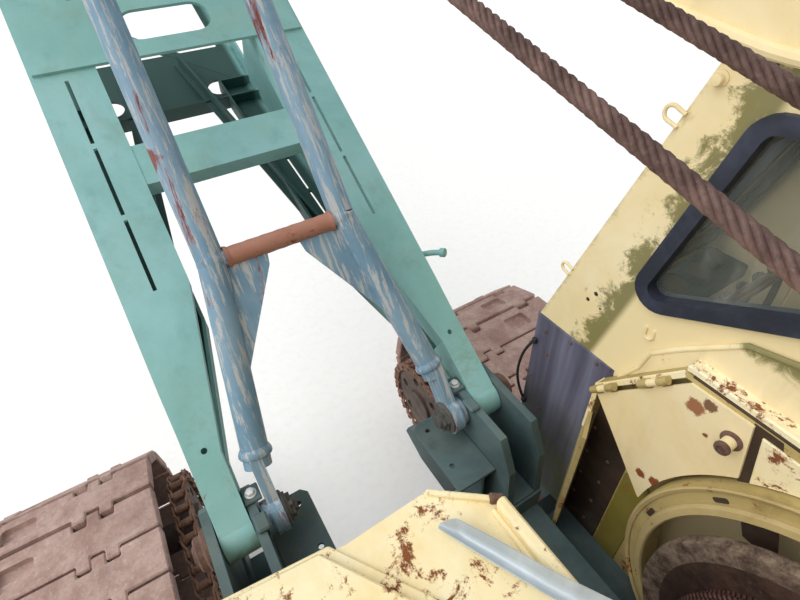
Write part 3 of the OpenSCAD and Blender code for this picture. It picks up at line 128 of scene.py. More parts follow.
class Nodes:
    """Builds one material's shader tree."""

    def __init__(self, name: str) -> None:
        """Starts a material with an empty Principled shader.

        Args:
            name: Name of the material.
        """
        self.material = bpy.data.materials.new(name)
        self.material.use_nodes = True
        self.tree = self.material.node_tree
        self.shader = self.tree.nodes["Principled BSDF"]
        self.spot = self.add("TexCoord").outputs["Object"]
        self.normal = self.add("NewGeometry").outputs["Normal"]

    def add(self, kind: str, **settings: object) -> bpy.types.Node:
        """Adds a shader node.

        Args:
            kind: Its type, without the prefix.
            settings: Properties that are set on it.

        Returns:
            The node.
        """
        node = self.tree.nodes.new("ShaderNode" + kind)
        for name, value in settings.items():
            setattr(node, name, value)
        return node

    def link(self, source: object, target: object) -> None:
        """Joins an output socket to an input socket."""
        self.tree.links.new(source, target)

    def feed(self, socket: object, value: object) -> None:
        """Links a socket, or sets a number or a colour, into an input.

        Args:
            socket: The input.
            value: An output socket, a number or a colour.
        """
        if isinstance(value, bpy.types.NodeSocket):
            self.link(value, socket)
        elif isinstance(value, tuple) and len(value) == 3 and socket.type == "RGBA":
            socket.default_value = (*value, 1.0)
        else:
            socket.default_value = value

    def surface(self, colour: object, rough: object, metal: float = 0.0) -> None:
        """Sets the shader's colour, roughness and metallic share.

        Args:
            colour: A socket or a colour.
            rough: A socket or a number.
            metal: The metallic share.
        """
        for name, value in (("Base Color", colour), ("Roughness", rough), ("Metallic", metal)):
            self.feed(self.shader.inputs[name], value)

    def place(self, stretch: Point = (1, 1, 1), pitch: float = 0.0) -> object:
        """Object coordinates turned so that X runs up a pitch, then stretched by a factor on each axis.

        Args:
            stretch: Factor on each axis.
            pitch: Degrees from level.

        Returns:
            The vector output.
        """
        mapping = self.add("Mapping", vector_type="TEXTURE")
        mapping.inputs["Rotation"].default_value = (0, -math.radians(pitch), 0)
        mapping.inputs["Scale"].default_value = [1 / factor for factor in stretch]
        self.link(self.spot, mapping.inputs["Vector"])
        return mapping.outputs["Vector"]

    def vector(self, operation: str, first: object, second: Point, output: str) -> object:
        """A vector Math node.

        Args:
            operation: What it does.
            first: The socket that it reads.
            second: A fixed vector.
            output: Which output is wanted.

        Returns:
            The output socket.
        """
        node = self.add("VectorMath", operation=operation)
        self.link(first, node.inputs[0])
        node.inputs[1].default_value = second
        return node.outputs[output]

    def along(self, direction: Point, origin: Point) -> object:
        """Distance from a point along a direction."""
        offset = self.vector("SUBTRACT", self.spot, origin, "Vector")
        return self.vector("DOT_PRODUCT", offset, direction, "Value")

    def reach(self, place: Point) -> object:
        """Distance from a point."""
        return self.vector("DISTANCE", self.spot, place, "Value")

    def noise(self, scale: float, detail: float = 4, rough: float = 0.6, stretch: Point = (1, 1, 1),
              warp: float = 0, pitch: float = 0) -> object:
        """A noise value over the object's own coordinates.

        Args:
            scale: Cells for each metre.
            detail: Octaves.
            rough: Weight of the small octaves.
            stretch: Factor on each axis.
            warp: Distortion.
            pitch: Degrees from level of the line that the first factor stretches along.

        Returns:
            The noise output.
        """
        node = self.add("TexNoise")
        for name, value in (("Scale", scale), ("Detail", detail), ("Roughness", rough), ("Distortion", warp)):
            node.inputs[name].default_value = value
        self.link(self.place(stretch, pitch), node.inputs["Vector"])
        return node.outputs["Fac"]

    def step(self, value: object, low: float, high: float) -> object:
        """Smooth rise from 0 at low to 1 at high, or a fall where low is the greater.

        Args:
            value: The socket that is read.
            low: Value that gives 0.
            high: Value that gives 1.

        Returns:
            The result socket.
        """
        node = self.add("MapRange", interpolation_type="SMOOTHSTEP")
        self.link(value, node.inputs["Value"])
        ends = (*sorted((low, high)), float(low >= high), float(low < high))
        for name, end in zip(("From Min", "From Max", "To Min", "To Max"), ends):
            node.inputs[name].default_value = end
        return node.outputs["Result"]

    def share(self, value: object, low: float, high: float, amount: object) -> object:
        """A step from low to high, times an amount."""
        return self.math("MULTIPLY", self.step(value, low, high), amount)

    def math(self, operation: str, first: object, second: object = 0.0) -> object:
        """A Math node on two sockets or numbers."""
        node = self.add("Math", operation=operation)
        self.feed(node.inputs[0], first)
        self.feed(node.inputs[1], second)
        return node.outputs["Value"]

    def mix(self, factor: object, first: object, second: object) -> object:
        """Mixes two colours by a factor."""
        node = self.add("Mix", data_type="RGBA")
        for socket, value in (("Factor", factor), (6, first), (7, second)):
            self.feed(node.inputs[socket], value)
        return node.outputs[2]

    def axis(self, source: object, letter: str) -> object:
        """One coordinate of a vector socket."""
        node = self.add("SeparateXYZ")
        self.link(source, node.inputs["Vector"])
        return node.outputs[letter]

    def facing_up(self) -> object:
        """1 where the surface faces up, 0 where it stands or faces down."""
        return self.step(self.axis(self.normal, "Z"), 0.1, 0.9)

    def bump(self, height: object, depth: float) -> None:
        """Roughens the surface by a height socket.

        Args:
            height: Height from 0 to 1.
            depth: Depth in metres.
        """
        node = self.add("Bump")
        node.inputs["Distance"].default_value = depth
        node.inputs["Strength"].default_value = 1.0
        self.link(height, node.inputs["Height"])
        self.link(node.outputs["Normal"], self.shader.inputs["Normal"])


@dataclass(frozen=True)
class Band:
    """A darker or stained part of a surface, beyond a distance along a direction: a real stain such as moss, or
    painted shade.
    """

    origin: Point
    direction: Point
    start: float
    end: float
    colour: Colour
    half_y: float = 100.0
    ragged: float = 0.0
    strength: float = 1.0

    def over(self, n: Nodes, colour: object) -> object:
        """Lays the band over a colour.

        Args:
            n: The shader tree.
            colour: The colour under it.

        Returns:
            The mixed colour.
        """
        depth = n.along(self.direction, self.origin)
        if self.ragged:
            cloud = n.math("SUBTRACT", n.noise(15, 9, 0.8, warp=0.4), 0.5)
            depth = n.math("ADD", depth, n.math("MULTIPLY", cloud, self.ragged))
        part = n.step(depth, self.start, self.end)
        across = n.math("ABSOLUTE", n.axis(n.spot, "Y"))
        part = n.math("MULTIPLY", part, n.step(across, self.half_y, self.half_y - 0.05))
        return n.mix(n.math("MULTIPLY", part, self.strength), colour, self.colour)


@dataclass(frozen=True)
class Patch:
    """A stain with a ragged edge at one place."""

    place: Point
    radius: float
    colour: Colour
    strength: float = 1.0
    fuzz: float = 1.6

    def over(self, n: Nodes, colour: object) -> object:
        """Lays the stain over a colour.

        Args:
            n: The shader tree.
            colour: The colour under it.

        Returns:
            The mixed colour.
        """
        cloud = n.math("MULTIPLY", n.noise(1.6 / self.radius, 9, 0.78), self.fuzz * self.radius)
        distance = n.math("ADD", n.reach(self.place), cloud)
        outer, inner = ((0.5 * self.fuzz + share) * self.radius for share in (0.85, 0.6))
        return n.mix(n.share(distance, outer, inner, self.strength), colour, self.colour)


@dataclass(frozen=True)
class Paint:
    """Old paint: it fades, streaks, chips to rust, and grows moss where water stands."""

    name: str
    base: Colour
    faded: Colour
    under: Colour = from_srgb(96, 52, 34)
    rust: Colour = from_srgb(150, 84, 44)
    moss: Colour = from_srgb(104, 102, 44)
    chips: float = 0.3
    chip_scale: float = 9.0
    mossy: float = 0.2
    moss_low: float = -10.0
    moss_high: float = -9.0
    grime: float = 0.35
    dust: Colour = from_srgb(160, 165, 150)
    dusty: float = 0.1
    scratch: Colour = from_srgb(186, 184, 180)
    scratches: float = 0.0
    rough: float = 0.55
    pitch: float = 0.0
    drawn: Point = (1, 1, 1)
    layers: tuple[object, ...] = ()

    def make(self) -> bpy.types.Material:
        """Builds the material."""
        n = Nodes(self.name)
        broad = n.noise(1.6, 6, 0.65, warp=0.4)
        colour = n.mix(n.step(broad, 0.35, 0.68), self.base, self.faded)
        streaks = n.noise(14, 4, 0.6, (0.15, 1, 1) if self.pitch else (1, 1, 0.12), pitch=self.pitch)
        dark = tuple(c * 0.62 for c in self.base)
        colour = n.mix(n.share(streaks, 0.52, 0.8, self.grime), colour, dark)
        colour = n.mix(n.share(n.noise(5, 8, 0.7), 0.42, 0.75, self.dusty), colour, self.dust)
        growth = n.noise(3.2, 9, 0.72, warp=0.6)
        low_part = n.share(n.axis(n.spot, "Z"), self.moss_high, self.moss_low, 0.8)
        spread = n.math("ADD", n.math("MULTIPLY", n.facing_up(), self.mossy), low_part)
        colour = n.mix(n.share(growth, 0.5, 0.72, spread), colour, self.moss)
        if self.scratches:
            veins = n.noise(58, 8, 0.74, (0.11, 1, 1), 0.35, self.pitch)
            colour = n.mix(n.share(veins, 0.50, 0.58, self.scratches), colour, self.scratch)
        wear = n.noise(self.chip_scale, 12, 0.78, self.drawn, 0.3, self.pitch)
        edge = 0.72 - 0.16 * self.chips
        halo = n.share(wear, edge - 0.06, edge + 0.01, min(1.0, self.chips * 1.6))
        colour = n.mix(halo, colour, self.rust)
        bare = n.step(wear, edge, edge + 0.012)
        colour = n.mix(bare, colour, n.mix(n.noise(40, 4), self.under, self.rust))
        for layer in self.layers:
            colour = layer.over(n, colour)
        grit = n.noise(120, 4, 0.6)
        level = n.math("ADD", n.math("MULTIPLY", bare, 0.3), self.rough)
        n.surface(colour, n.math("ADD", level, n.math("MULTIPLY", grit, 0.12)))
        relief = n.math("SUBTRACT", n.math("MULTIPLY", grit, 0.35), n.math("MULTIPLY", bare, 0.6))
        n.bump(n.math("ADD", relief, n.math("MULTIPLY", n.noise(7, 3), 0.5)), 0.0012)
        return n.material


@dataclass(frozen=True)
class RustySteel:
    """Bare steel or iron with rust of two shades, pale grit and darker grease."""

    name: str
    base: Colour
    light: Colour
    dark: Colour
    grease: float = 0.3
    speckle: float = 0.3
    scale: float = 9.0
    rough: float = 0.72
    metal: float = 0.15
    relief: float = 0.003

    def make(self) -> bpy.types.Material:
        """Builds the material."""
        n = Nodes(self.name)
        colour = n.mix(n.step(n.noise(self.scale, 10, 0.72, warp=0.3), 0.36, 0.66), self.base, self.light)
        grain = n.noise(self.scale * 9, 5, 0.7)
        pale = tuple(min(1.0, c * 1.7 + 0.06) for c in self.light)
        colour = n.mix(n.share(grain, 0.55, 0.72, self.speckle), colour, pale)
        patches = n.noise(self.scale * 0.42, 8, 0.68, warp=0.7)
        colour = n.mix(n.share(patches, 0.5, 0.7, self.grease), colour, self.dark)
        colour = n.mix(n.share(grain, 0.45, 0.3, 0.45), colour, self.dark)
        n.surface(colour, n.math("ADD", self.rough, n.math("MULTIPLY", grain, 0.2)), self.metal)
        n.bump(n.math("ADD", n.math("MULTIPLY", grain, 0.4), n.noise(self.scale * 3, 4)), self.relief)
        return n.material


@dataclass(frozen=True)
class StreakedSheet:
    """Bare sheet metal, brushed upright, with pale runs and a stained foot."""

    name: str
    base: Colour
    pale: Colour
    stain: Colour
    foot: float
    head: float
    spots: Colour = from_srgb(92, 56, 40)
    metal: float = 0.35

    def make(self) -> bpy.types.Material:
        """Builds the material."""
        n = Nodes(self.name)
        brushed = n.noise(11, 6, 0.62, (1, 1, 0.05), 0.2)
        colour = n.mix(n.step(brushed, 0.36, 0.74), self.base, self.pale)
        wet = n.step(n.noise(6, 8, 0.7), 0.3, 0.62)
        colour = n.mix(n.share(n.axis(n.spot, "Z"), self.head, self.foot, wet), colour, self.stain)
        colour = n.mix(n.share(n.noise(34, 6, 0.8), 0.68, 0.72, 0.7), colour, self.spots)
        n.surface(colour, n.math("ADD", 0.42, n.math("MULTIPLY", brushed, 0.3)), self.metal)
        n.bump(brushed, 0.0008)
        return n.material


@dataclass(frozen=True)
class WoundRope:
    """Wire rope of six strands wound on a drum: slanting strands, with painted shade in the grooves between
    them.
    """

    name: str
    base: Colour
    light: Colour
    dark: Colour
    centre: tuple[float, float]
    strands: float = 150.0
    slant: float = 260.0
    rough: float = 0.62
    metal: float = 0.3

    def make(self) -> bpy.types.Material:
        """Builds the material."""
        n = Nodes(self.name)
        x, z = (n.math("SUBTRACT", n.axis(n.spot, letter), middle) for letter, middle in zip("XZ", self.centre))
        turn = n.math("MULTIPLY", n.math("ARCTAN2", x, z), self.strands)
        lay = n.math("SINE", n.math("ADD", turn, n.math("MULTIPLY", n.axis(n.spot, "Y"), self.slant)))
        colour = n.mix(n.step(n.noise(9, 8, 0.7), 0.35, 0.68), self.base, self.light)
        # Dark in the grooves of the lay: painted shade.
        n.surface(n.mix(n.step(lay, -0.1, -0.9), colour, self.dark), self.rough, self.metal)
        n.bump(n.math("MULTIPLY", lay, 0.5), 0.004)
        return n.material


@dataclass(frozen=True)
class Rubber:
    """Dull black rubber with a bluish bloom."""

    name: str
    base: Colour
    bloom: Colour

    def make(self) -> bpy.types.Material:
        """Builds the material."""
        n = Nodes(self.name)
        n.surface(n.mix(n.step(n.noise(8, 6), 0.4, 0.7), self.base, self.bloom),
                  n.math("ADD", 0.5, n.math("MULTIPLY", n.noise(50, 3), 0.2)))
        n.bump(n.noise(200, 2), 0.0004)
        return n.material


@dataclass(frozen=True)
class DustyGlass:
    """Flat window glass with a film of dust and dried runs."""

    name: str
    tint: Colour
    film: Colour = from_srgb(190, 188, 176)

    def make(self) -> bpy.types.Material:
        """Builds the material."""
        n = Nodes(self.name)
        dust = n.step(n.noise(12, 6, 0.7, (1, 1, 0.2)), 0.45, 0.8)
        n.surface(n.mix(dust, self.tint, self.film), n.math("ADD", 0.08, n.math("MULTIPLY", dust, 0.4)))
        n.feed(n.shader.inputs["Alpha"], n.math("ADD", 0.12, n.math("MULTIPLY", dust, 0.2)))
        return n.material


RUST_SPOT = from_srgb(140, 74, 40)
MOSS_GREEN = from_srgb(104, 100, 40)
CREAM = Paint("cream_weathered", from_srgb(238, 216, 164), from_srgb(248, 234, 196), chips=0.32, mossy=0.3,
              dust=from_srgb(214, 198, 150), dusty=0.2, grime=0.22)
CREAM_CAB = Paint("cream_cab_wall", from_srgb(240, 218, 166), from_srgb(250, 236, 198), chips=0.3, mossy=0.2,
                  dust=from_srgb(214, 196, 144), dusty=0.2, grime=0.2,
                  layers=(Band((0.94, -0.65, 2.08), (0.944, 0, 0.330), -0.045, 0.0, MOSS_GREEN, ragged=0.12,
                               strength=0.7),
                          Band((0.745, -0.65, 2.07), (0.967, 0, 0.253), 0.050, 0.012, MOSS_GREEN, ragged=0.30,
                               strength=0.85),
                          Band((0.745, -0.65, 2.07), (0.967, 0, 0.253), -0.012, -0.035,
                               from_srgb(242, 222, 172))))
CREAM_DECK = Paint("cream_deck", from_srgb(246, 226, 172), from_srgb(252, 242, 206), chips=0.78,
                   under=from_srgb(126, 74, 40), chip_scale=15, mossy=0.1, moss=from_srgb(150, 126, 60),
                   dust=from_srgb(232, 196, 112), dusty=0.5, grime=0.15)
CREAM_LID = Paint("cream_lid", from_srgb(240, 216, 162), from_srgb(248, 232, 190), chips=0.2, mossy=0.1,
                  dust=from_srgb(228, 196, 132), dusty=0.4, grime=0.2,
                  layers=(Patch((0.455, -0.592, 2.000), 0.030, from_srgb(150, 84, 48), 0.9),
                          Patch((0.430, -0.592, 2.030), 0.022, from_srgb(112, 60, 36), 0.9),
                          Patch((0.447, -0.592, 1.669), 0.026, RUST_SPOT),
                          Patch((0.491, -0.592, 1.656), 0.020, RUST_SPOT),
                          Patch((0.409, -0.592, 1.946), 0.008, RUST_SPOT)))
CREAM_MOSS = Paint("cream_mossy", from_srgb(240, 218, 164), from_srgb(248, 232, 190), chips=0.5, mossy=0.2,
                   dusty=0.3, dust=from_srgb(206, 180, 110), grime=0.4,
                   layers=(Band((0, 0, 2.16), (0, 0, 1), 0.0, 0.035, MOSS_GREEN, ragged=0.14, strength=0.85),))
CREAM_INNER = Paint("cream_inner", from_srgb(172, 150, 92), from_srgb(196, 176, 118), chips=0.7, mossy=0.3,
                    grime=0.7, chip_scale=7)
GUARD_RING = Paint("cream_guard_ring", from_srgb(176, 152, 98), from_srgb(206, 184, 130), chips=0.62, mossy=0.2,
                   grime=0.5, under=from_srgb(78, 46, 30))
# The boom's band is painted shade: members below its top and between the chords are made dark green, partly for
# darker paint.
BOOM = Paint("turquoise_boom", from_srgb(126, 178, 172), from_srgb(150, 198, 198), chips=0.30, mossy=0.2,
             moss_low=1.5, moss_high=1.95, grime=0.35, dust=from_srgb(150, 182, 164), dusty=0.35,
             layers=(Band((1.0, 0, 1.55), (0.4226, 0, -0.9063), 0.05, 0.20, from_srgb(24, 60, 54), 0.46,
                          strength=0.92),))
MAST = Paint("blue_grey_mast", from_srgb(98, 136, 160), from_srgb(132, 162, 182), chips=0.62, chip_scale=10,
             mossy=0.0, under=from_srgb(96, 48, 42), rust=from_srgb(136, 72, 62), scratches=0.85, rough=0.5,
             grime=0.6, pitch=52, drawn=(0.2, 1, 1),
             layers=(Patch((1.651, 0.24, 2.384), 0.05, from_srgb(126, 60, 50), 0.95),))
MAST_CROSS = Paint("rusty_cross_tube", from_srgb(164, 108, 88), from_srgb(184, 140, 120), chips=0.7, mossy=0.0,
                   chip_scale=16, under=from_srgb(96, 58, 46), rust=from_srgb(134, 80, 62))
FRAME = Paint("frame_grey_green", from_srgb(62, 82, 84), from_srgb(92, 114, 116), chips=0.3, mossy=0.3,
              grime=0.55, dust=from_srgb(116, 118, 100), dusty=0.35)
BLACK = Paint("control_black", from_srgb(34, 34, 36), from_srgb(54, 54, 54), chips=0.1, mossy=0.0)
DARK_FRAME = Paint("dark_brown_frame", from_srgb(58, 42, 34), from_srgb(78, 60, 48), chips=0.2, mossy=0.0)
WOOD = Paint("worn_wood", from_srgb(150, 112, 72), from_srgb(176, 138, 94), chips=0.1, mossy=0.0)
OLIVE = Paint("olive_plate", from_srgb(116, 104, 34), from_srgb(142, 128, 50), chips=0.5, mossy=0.2)
# Dark greasy brown; on the guard's back plates, ring slots and screw holes it is painted shade.
GREASE_AND_SHADE = Paint("greasy_dark_and_painted_shade", from_srgb(44, 31, 23), from_srgb(72, 50, 36), chips=0.45, mossy=0.0, grime=0.6,
               rust=from_srgb(112, 66, 40))
ENGINE = Paint("engine_oily", from_srgb(66, 72, 72), from_srgb(86, 92, 90), chips=0.2, mossy=0.0)
TRACK = RustySteel("track_rust", from_srgb(166, 134, 124), from_srgb(196, 168, 158), from_srgb(124, 94, 84),
                   grease=0.4, speckle=0.35, scale=7)
CHAIN = RustySteel("chain_rust", from_srgb(124, 90, 74), from_srgb(164, 126, 106), from_srgb(74, 54, 46),
                   grease=0.35, scale=20)
WORN = RustySteel("worn_cast", from_srgb(92, 80, 74), from_srgb(122, 104, 94), from_srgb(54, 44, 40),
                  grease=0.5, scale=12)
NUT = RustySteel("greased_nut", from_srgb(74, 76, 74), from_srgb(104, 100, 94), from_srgb(46, 44, 42),
                 grease=0.4, scale=22)
RIM = RustySteel("worn_rim", from_srgb(84, 64, 54), from_srgb(158, 138, 118), from_srgb(50, 38, 34),
                 grease=0.6, speckle=0.4, scale=24)
PIN = RustySteel("rusty_pin", from_srgb(96, 72, 62), from_srgb(128, 98, 84), from_srgb(56, 42, 38),
                 grease=0.4, scale=22)
BRIGHT = RustySteel("bright_bolt", from_srgb(198, 200, 200), from_srgb(225, 226, 224),
                    from_srgb(150, 150, 148), grease=0.2, speckle=0.1, scale=30, rough=0.5, relief=0.0006)
DRUM = RustySteel("drum_brown", from_srgb(66, 48, 42), from_srgb(98, 74, 62), from_srgb(38, 28, 26),
                  grease=0.5, scale=10, rough=0.55, metal=0.3)
ROPE = RustySteel("rope_brown", from_srgb(84, 62, 56), from_srgb(124, 98, 90), from_srgb(44, 32, 30),
                  grease=0.4, scale=26, rough=0.55, metal=0.3, relief=0.0008)
EXHAUST = RustySteel("exhaust_rust", from_srgb(96, 66, 52), from_srgb(140, 92, 66), from_srgb(52, 40, 36))
SHEET = StreakedSheet("bare_streaked_sheet", from_srgb(92, 88, 106), from_srgb(148, 148, 172),
                      from_srgb(104, 108, 56), 1.1, 1.7)
STRIP = StreakedSheet("bent_bare_strip", from_srgb(184, 194, 200), from_srgb(214, 222, 226),
                      from_srgb(120, 112, 96), 0.5, 0.6)
SEAL = Rubber("window_seal", from_srgb(34, 38, 52), from_srgb(58, 64, 82))
HOSE = Rubber("black_hose", from_srgb(24, 25, 28), from_srgb(44, 44, 48))
GLASS = DustyGlass("dusty_glass", from_srgb(150, 160, 150))

NODE_FINISH: dict[str, object] = {
    "carbody": FRAME, "slew_ring": WORN, "side_frame_left": FRAME, "side_frame_right": FRAME,
    "drive_tumbler_left": WORN, "drive_tumbler_right": WORN, "idler_left": WORN, "idler_right": WORN,
    "propel_shaft": WORN, "revolving_frame": FRAME, "counterweight": CREAM, "house_left": CREAM,
    "house_right": CREAM, "deck_cover": CREAM_DECK, "engine_block": ENGINE, "exhaust": EXHAUST,
    "gantry": CREAM, "gantry_sheaves": WORN, "main_drum": DRUM, "hoist_drum": DRUM,
    "drum_guard": CREAM_INNER, "guard_lid": CREAM_LID, "cab_front": CREAM, "cab_left_wall": CREAM_CAB,
    "cab_right_wall": CREAM, "cab_rear": CREAM, "cab_roof": CREAM, "cab_glass": GLASS,
    "window_seals": SEAL, "operator_station": BLACK, "side_sheet": SHEET, "cab_door": CREAM,
    "house_door_left": CREAM, "house_door_right": CREAM, "boom_butt": BOOM, "boom_head": BOOM,
    "head_sheaves": WORN, "mast": MAST, "mast_sheaves": WORN, "pendants": ROPE,
}


class Bench:
    """Models pieces with Blender's operators and puts them on the crane."""

    made: dict[str, bpy.types.Material] = {}

    @staticmethod
    def clear() -> None:
        """Leaves edit mode and deselects everything."""
        if bpy.context.object and bpy.context.object.mode != "OBJECT":
            bpy.ops.object.mode_set(mode="OBJECT")
        bpy.ops.object.select_all(action="DESELECT")

    @staticmethod
    def pick(*pieces: bpy.types.Object) -> None:
        """Selects just these pieces, the first one active."""
        Bench.clear()
        for piece in pieces:
            piece.select_set(True)
        bpy.context.view_layer.objects.active = pieces[0]

    @staticmethod
    def settle(piece: bpy.types.Object) -> bpy.types.Object:
        """Applies a piece's place, turn and scale to its mesh."""
        Bench.pick(piece)
        bpy.ops.object.transform_apply(location=True, rotation=True, scale=True)
        return piece

    @staticmethod
    def shape(piece: bpy.types.Object, work: Callable[[], None]) -> bpy.types.Object:
        """Runs edit-mode operators on the whole of a piece.

        Args:
            piece: The piece.
            work: What to run with all of it selected.

        Returns:
            The piece.
        """
        Bench.pick(piece)
        bpy.ops.object.mode_set(mode="EDIT")
        bpy.ops.mesh.select_all(action="SELECT")
        work()
        bpy.ops.object.mode_set(mode="OBJECT")
        return piece

    @staticmethod
    def face_out() -> None:
        """Turns the selected faces outwards."""
        bpy.ops.mesh.normals_make_consistent(inside=False)

    @staticmethod
    def soften(piece: bpy.types.Object, width: float, segments: int = 1) -> bpy.types.Object:
        """Bevels a piece's sharp edges with an applied modifier.

        Args:
            piece: The piece.
            width: Width of the bevel.
            segments: Segments of the bevel.

        Returns:
            The piece.
        """
        Bench.pick(piece)
        bevel = piece.modifiers.new("edge", "BEVEL")
        bevel.width = width
        bevel.segments = segments
        bevel.limit_method = "ANGLE"
        bevel.angle_limit = math.radians(35)
        bpy.ops.object.modifier_apply(modifier=bevel.name)
        return piece

    @staticmethod
    def block(low: Point, high: Point, edge: float = 0.004, segments: int = 1) -> bpy.types.Object:
        """A block between two corners with worn edges.

        Args:
            low: One corner.
            high: The corner across from it.
            edge: Width of the bevel.
            segments: Segments of the bevel.

        Returns:
            The piece.
        """
        Bench.clear()
        low, high = (Vector(corner) for corner in zip(*(sorted(pair) for pair in zip(low, high))))
        bpy.ops.mesh.primitive_cube_add(size=1, location=(low + high) / 2)
        piece = bpy.context.active_object
        piece.scale = high - low
        return Bench.soften(Bench.settle(piece), edge, segments)

    @staticmethod
    def rod(start: Point, end: Point, radius: float, sides: int = 20, edge: float = 0.0,
            tip: float | None = None) -> bpy.types.Object:
        """A round rod, or a cone where tip is given.

        Args:
            start: Middle of the first end.
            end: Middle of the second end.
            radius: Radius at the start.
            sides: Number of sides.
            edge: Width of the bevel at the ends.
            tip: Radius at the end.

        Returns:
            The piece.
        """
        Bench.clear()
        start, end = Vector(start), Vector(end)
        along = end - start
        bpy.ops.mesh.primitive_cone_add(vertices=sides, radius1=radius, radius2=radius if tip is None else tip,
                                        depth=along.length, location=(start + end) / 2,
                                        rotation=along.to_track_quat("Z", "Y").to_euler())
        piece = Bench.settle(bpy.context.active_object)
        return Bench.soften(piece, edge, 2) if edge else piece

    @staticmethod
    def plate(corners: Sequence[Point], depth: Point, edge: float = 0.002) -> bpy.types.Object:
        """A flat plate: an outline extruded by a vector.

        Args:
            corners: The outline's corners in order.
            depth: The extrusion.
            edge: Width of the bevel.

        Returns:
            The piece.
        """
        Bench.clear()
        bpy.ops.mesh.primitive_circle_add(vertices=len(corners), fill_type="NGON")
        piece = bpy.context.active_object
        for vertex, corner in zip(piece.data.vertices, corners):
            vertex.co = corner

        def work() -> None:
            """Extrudes the outline and turns its faces outwards."""
            bpy.ops.mesh.extrude_region_move(TRANSFORM_OT_translate={"value": tuple(depth)})
            bpy.ops.mesh.select_all(action="SELECT")
            Bench.face_out()
        Bench.shape(piece, work)
        return Bench.soften(piece, edge) if edge else piece

    @staticmethod
    def level(outline: Sequence[tuple[float, float]], z: float, depth: float,
              edge: float = 0.002) -> bpy.types.Object:
        """A flat plate that lies level.

        Args:
            outline: Forward and left of each corner.
            z: Height of its first face.
            depth: Its thickness upwards.
            edge: Width of the bevel.

        Returns:
            The piece.
        """
        return Bench.plate([(x, y, z) for x, y in outline], (0, 0, depth), edge)

    @staticmethod
    def upright(outline: Sequence[tuple[float, float]], y: float, depth: float,
                edge: float = 0.002) -> bpy.types.Object:
        """A flat plate that stands lengthways.

        Args:
            outline: Forward and up of each corner.
            y: How far left its first face is.
            depth: Its thickness to the left.
            edge: Width of the bevel.

        Returns:
            The piece.
        """
        return Bench.plate([(x, y, z) for x, z in outline], (0, depth, 0), edge)

    @staticmethod
    def turned(profile: Sequence[tuple[float, float]], centre: Point, axis: Point = (0, 1, 0),
               steps: int = 32) -> bpy.types.Object:
        """A closed profile spun about an axis.

        Args:
            profile: Radius and place along the axis of each corner.
            centre: A point on the axis.
            axis: Direction of the axis.
            steps: Steps of a full turn.

        Returns:
            The piece.
        """
        Bench.clear()
        axis, centre = Vector(axis).normalized(), Vector(centre)
        out = axis.orthogonal().normalized()
        bpy.ops.mesh.primitive_circle_add(vertices=len(profile), fill_type="NOTHING")
        piece = bpy.context.active_object
        for vertex, (radius, along) in zip(piece.data.vertices, profile):
            vertex.co = centre + out * radius + axis * along

        def work() -> None:
            """Spins the profile, joins its ends and turns its faces outwards."""
            bpy.ops.mesh.spin(steps=steps, angle=2 * math.pi, center=centre, axis=axis)
            bpy.ops.mesh.select_all(action="SELECT")
            bpy.ops.mesh.remove_doubles(threshold=0.00005)
            Bench.face_out()
        return Bench.shape(piece, work)

    @staticmethod
    def wind(piece: bpy.types.Object, rise: float, turns: int, steps: int) -> None:
        """Winds an open outline about Z into a screw with an applied modifier.

        Args:
            piece: The outline.
            rise: How far it climbs in one turn.
            turns: Number of turns.
            steps: Steps of a turn.
        """
        screw = piece.modifiers.new("screw", "SCREW")
        screw.screw_offset = rise
        screw.iterations = turns
        screw.steps = screw.render_steps = steps
        screw.use_normal_calculate = True
        Bench.pick(piece)
        bpy.ops.object.modifier_apply(modifier=screw.name)

    @staticmethod
    def bent_bar(route: Sequence[Point], radius: float, smooth: bool = True) -> bpy.types.Object:
        """A round bar or hose along a route.

        Args:
            route: The points it follows.
            radius: Radius of the bar.
            smooth: Whether it bends smoothly between the points.

        Returns:
            The piece.
        """
        Bench.clear()
        bpy.ops.curve.primitive_nurbs_path_add()
        piece = bpy.context.active_object
        piece.data.splines.clear()
        spline = piece.data.splines.new("NURBS" if smooth else "POLY")
        spline.points.add(len(route) - 1)
        for point, place in zip(spline.points, route):
            point.co = (*place, 1)
        spline.use_endpoint_u = True
        spline.order_u = 3
        spline.resolution_u = 6
        piece.location = (0, 0, 0)
        piece.data.dimensions = "3D"
        piece.data.bevel_depth = radius
        piece.data.bevel_resolution = 3
        piece.data.use_fill_caps = True
        Bench.pick(piece)
        bpy.ops.object.convert(target="MESH")
        return Bench.shape(bpy.context.active_object, Bench.face_out)

    @staticmethod
    def copies(piece: bpy.types.Object, places: Sequence[Matrix]) -> list[bpy.types.Object]:
        """Copies a piece with its own mesh to each place and takes the first one away.

        Args:
            piece: The pattern, modelled at the origin.
            places: Where each copy goes.

        Returns:
            The copies.
        """
        made = []
        for place in places:
            copy = piece.copy()
            copy.data = piece.data.copy()
            copy.data.transform(place)
            bpy.context.scene.collection.objects.link(copy)
            made.append(copy)
        bpy.data.objects.remove(piece)
        return made

    @staticmethod
    def cut(piece: bpy.types.Object, tool: bpy.types.Object) -> bpy.types.Object:
        """Takes a tool's shape out of a piece."""
        Bench.pick(piece)
        hole = piece.modifiers.new("cut", "BOOLEAN")
        hole.operation = "DIFFERENCE"
        hole.object = tool
        hole.solver = "EXACT"
        bpy.ops.object.modifier_apply(modifier=hole.name)
        bpy.data.objects.remove(tool)
        return piece

    @staticmethod
    def join(pieces: Sequence[bpy.types.Object]) -> bpy.types.Object:
        """Joins pieces into one mesh."""
        Bench.pick(*pieces)
        if len(pieces) > 1:
            bpy.ops.object.join()
        return bpy.context.active_object

    @staticmethod
    def material(finish: object) -> bpy.types.Material:
        """The material of a finish, made once."""
        if finish.name not in Bench.made:
            Bench.made[finish.name] = finish.make()
        return Bench.made[finish.name]

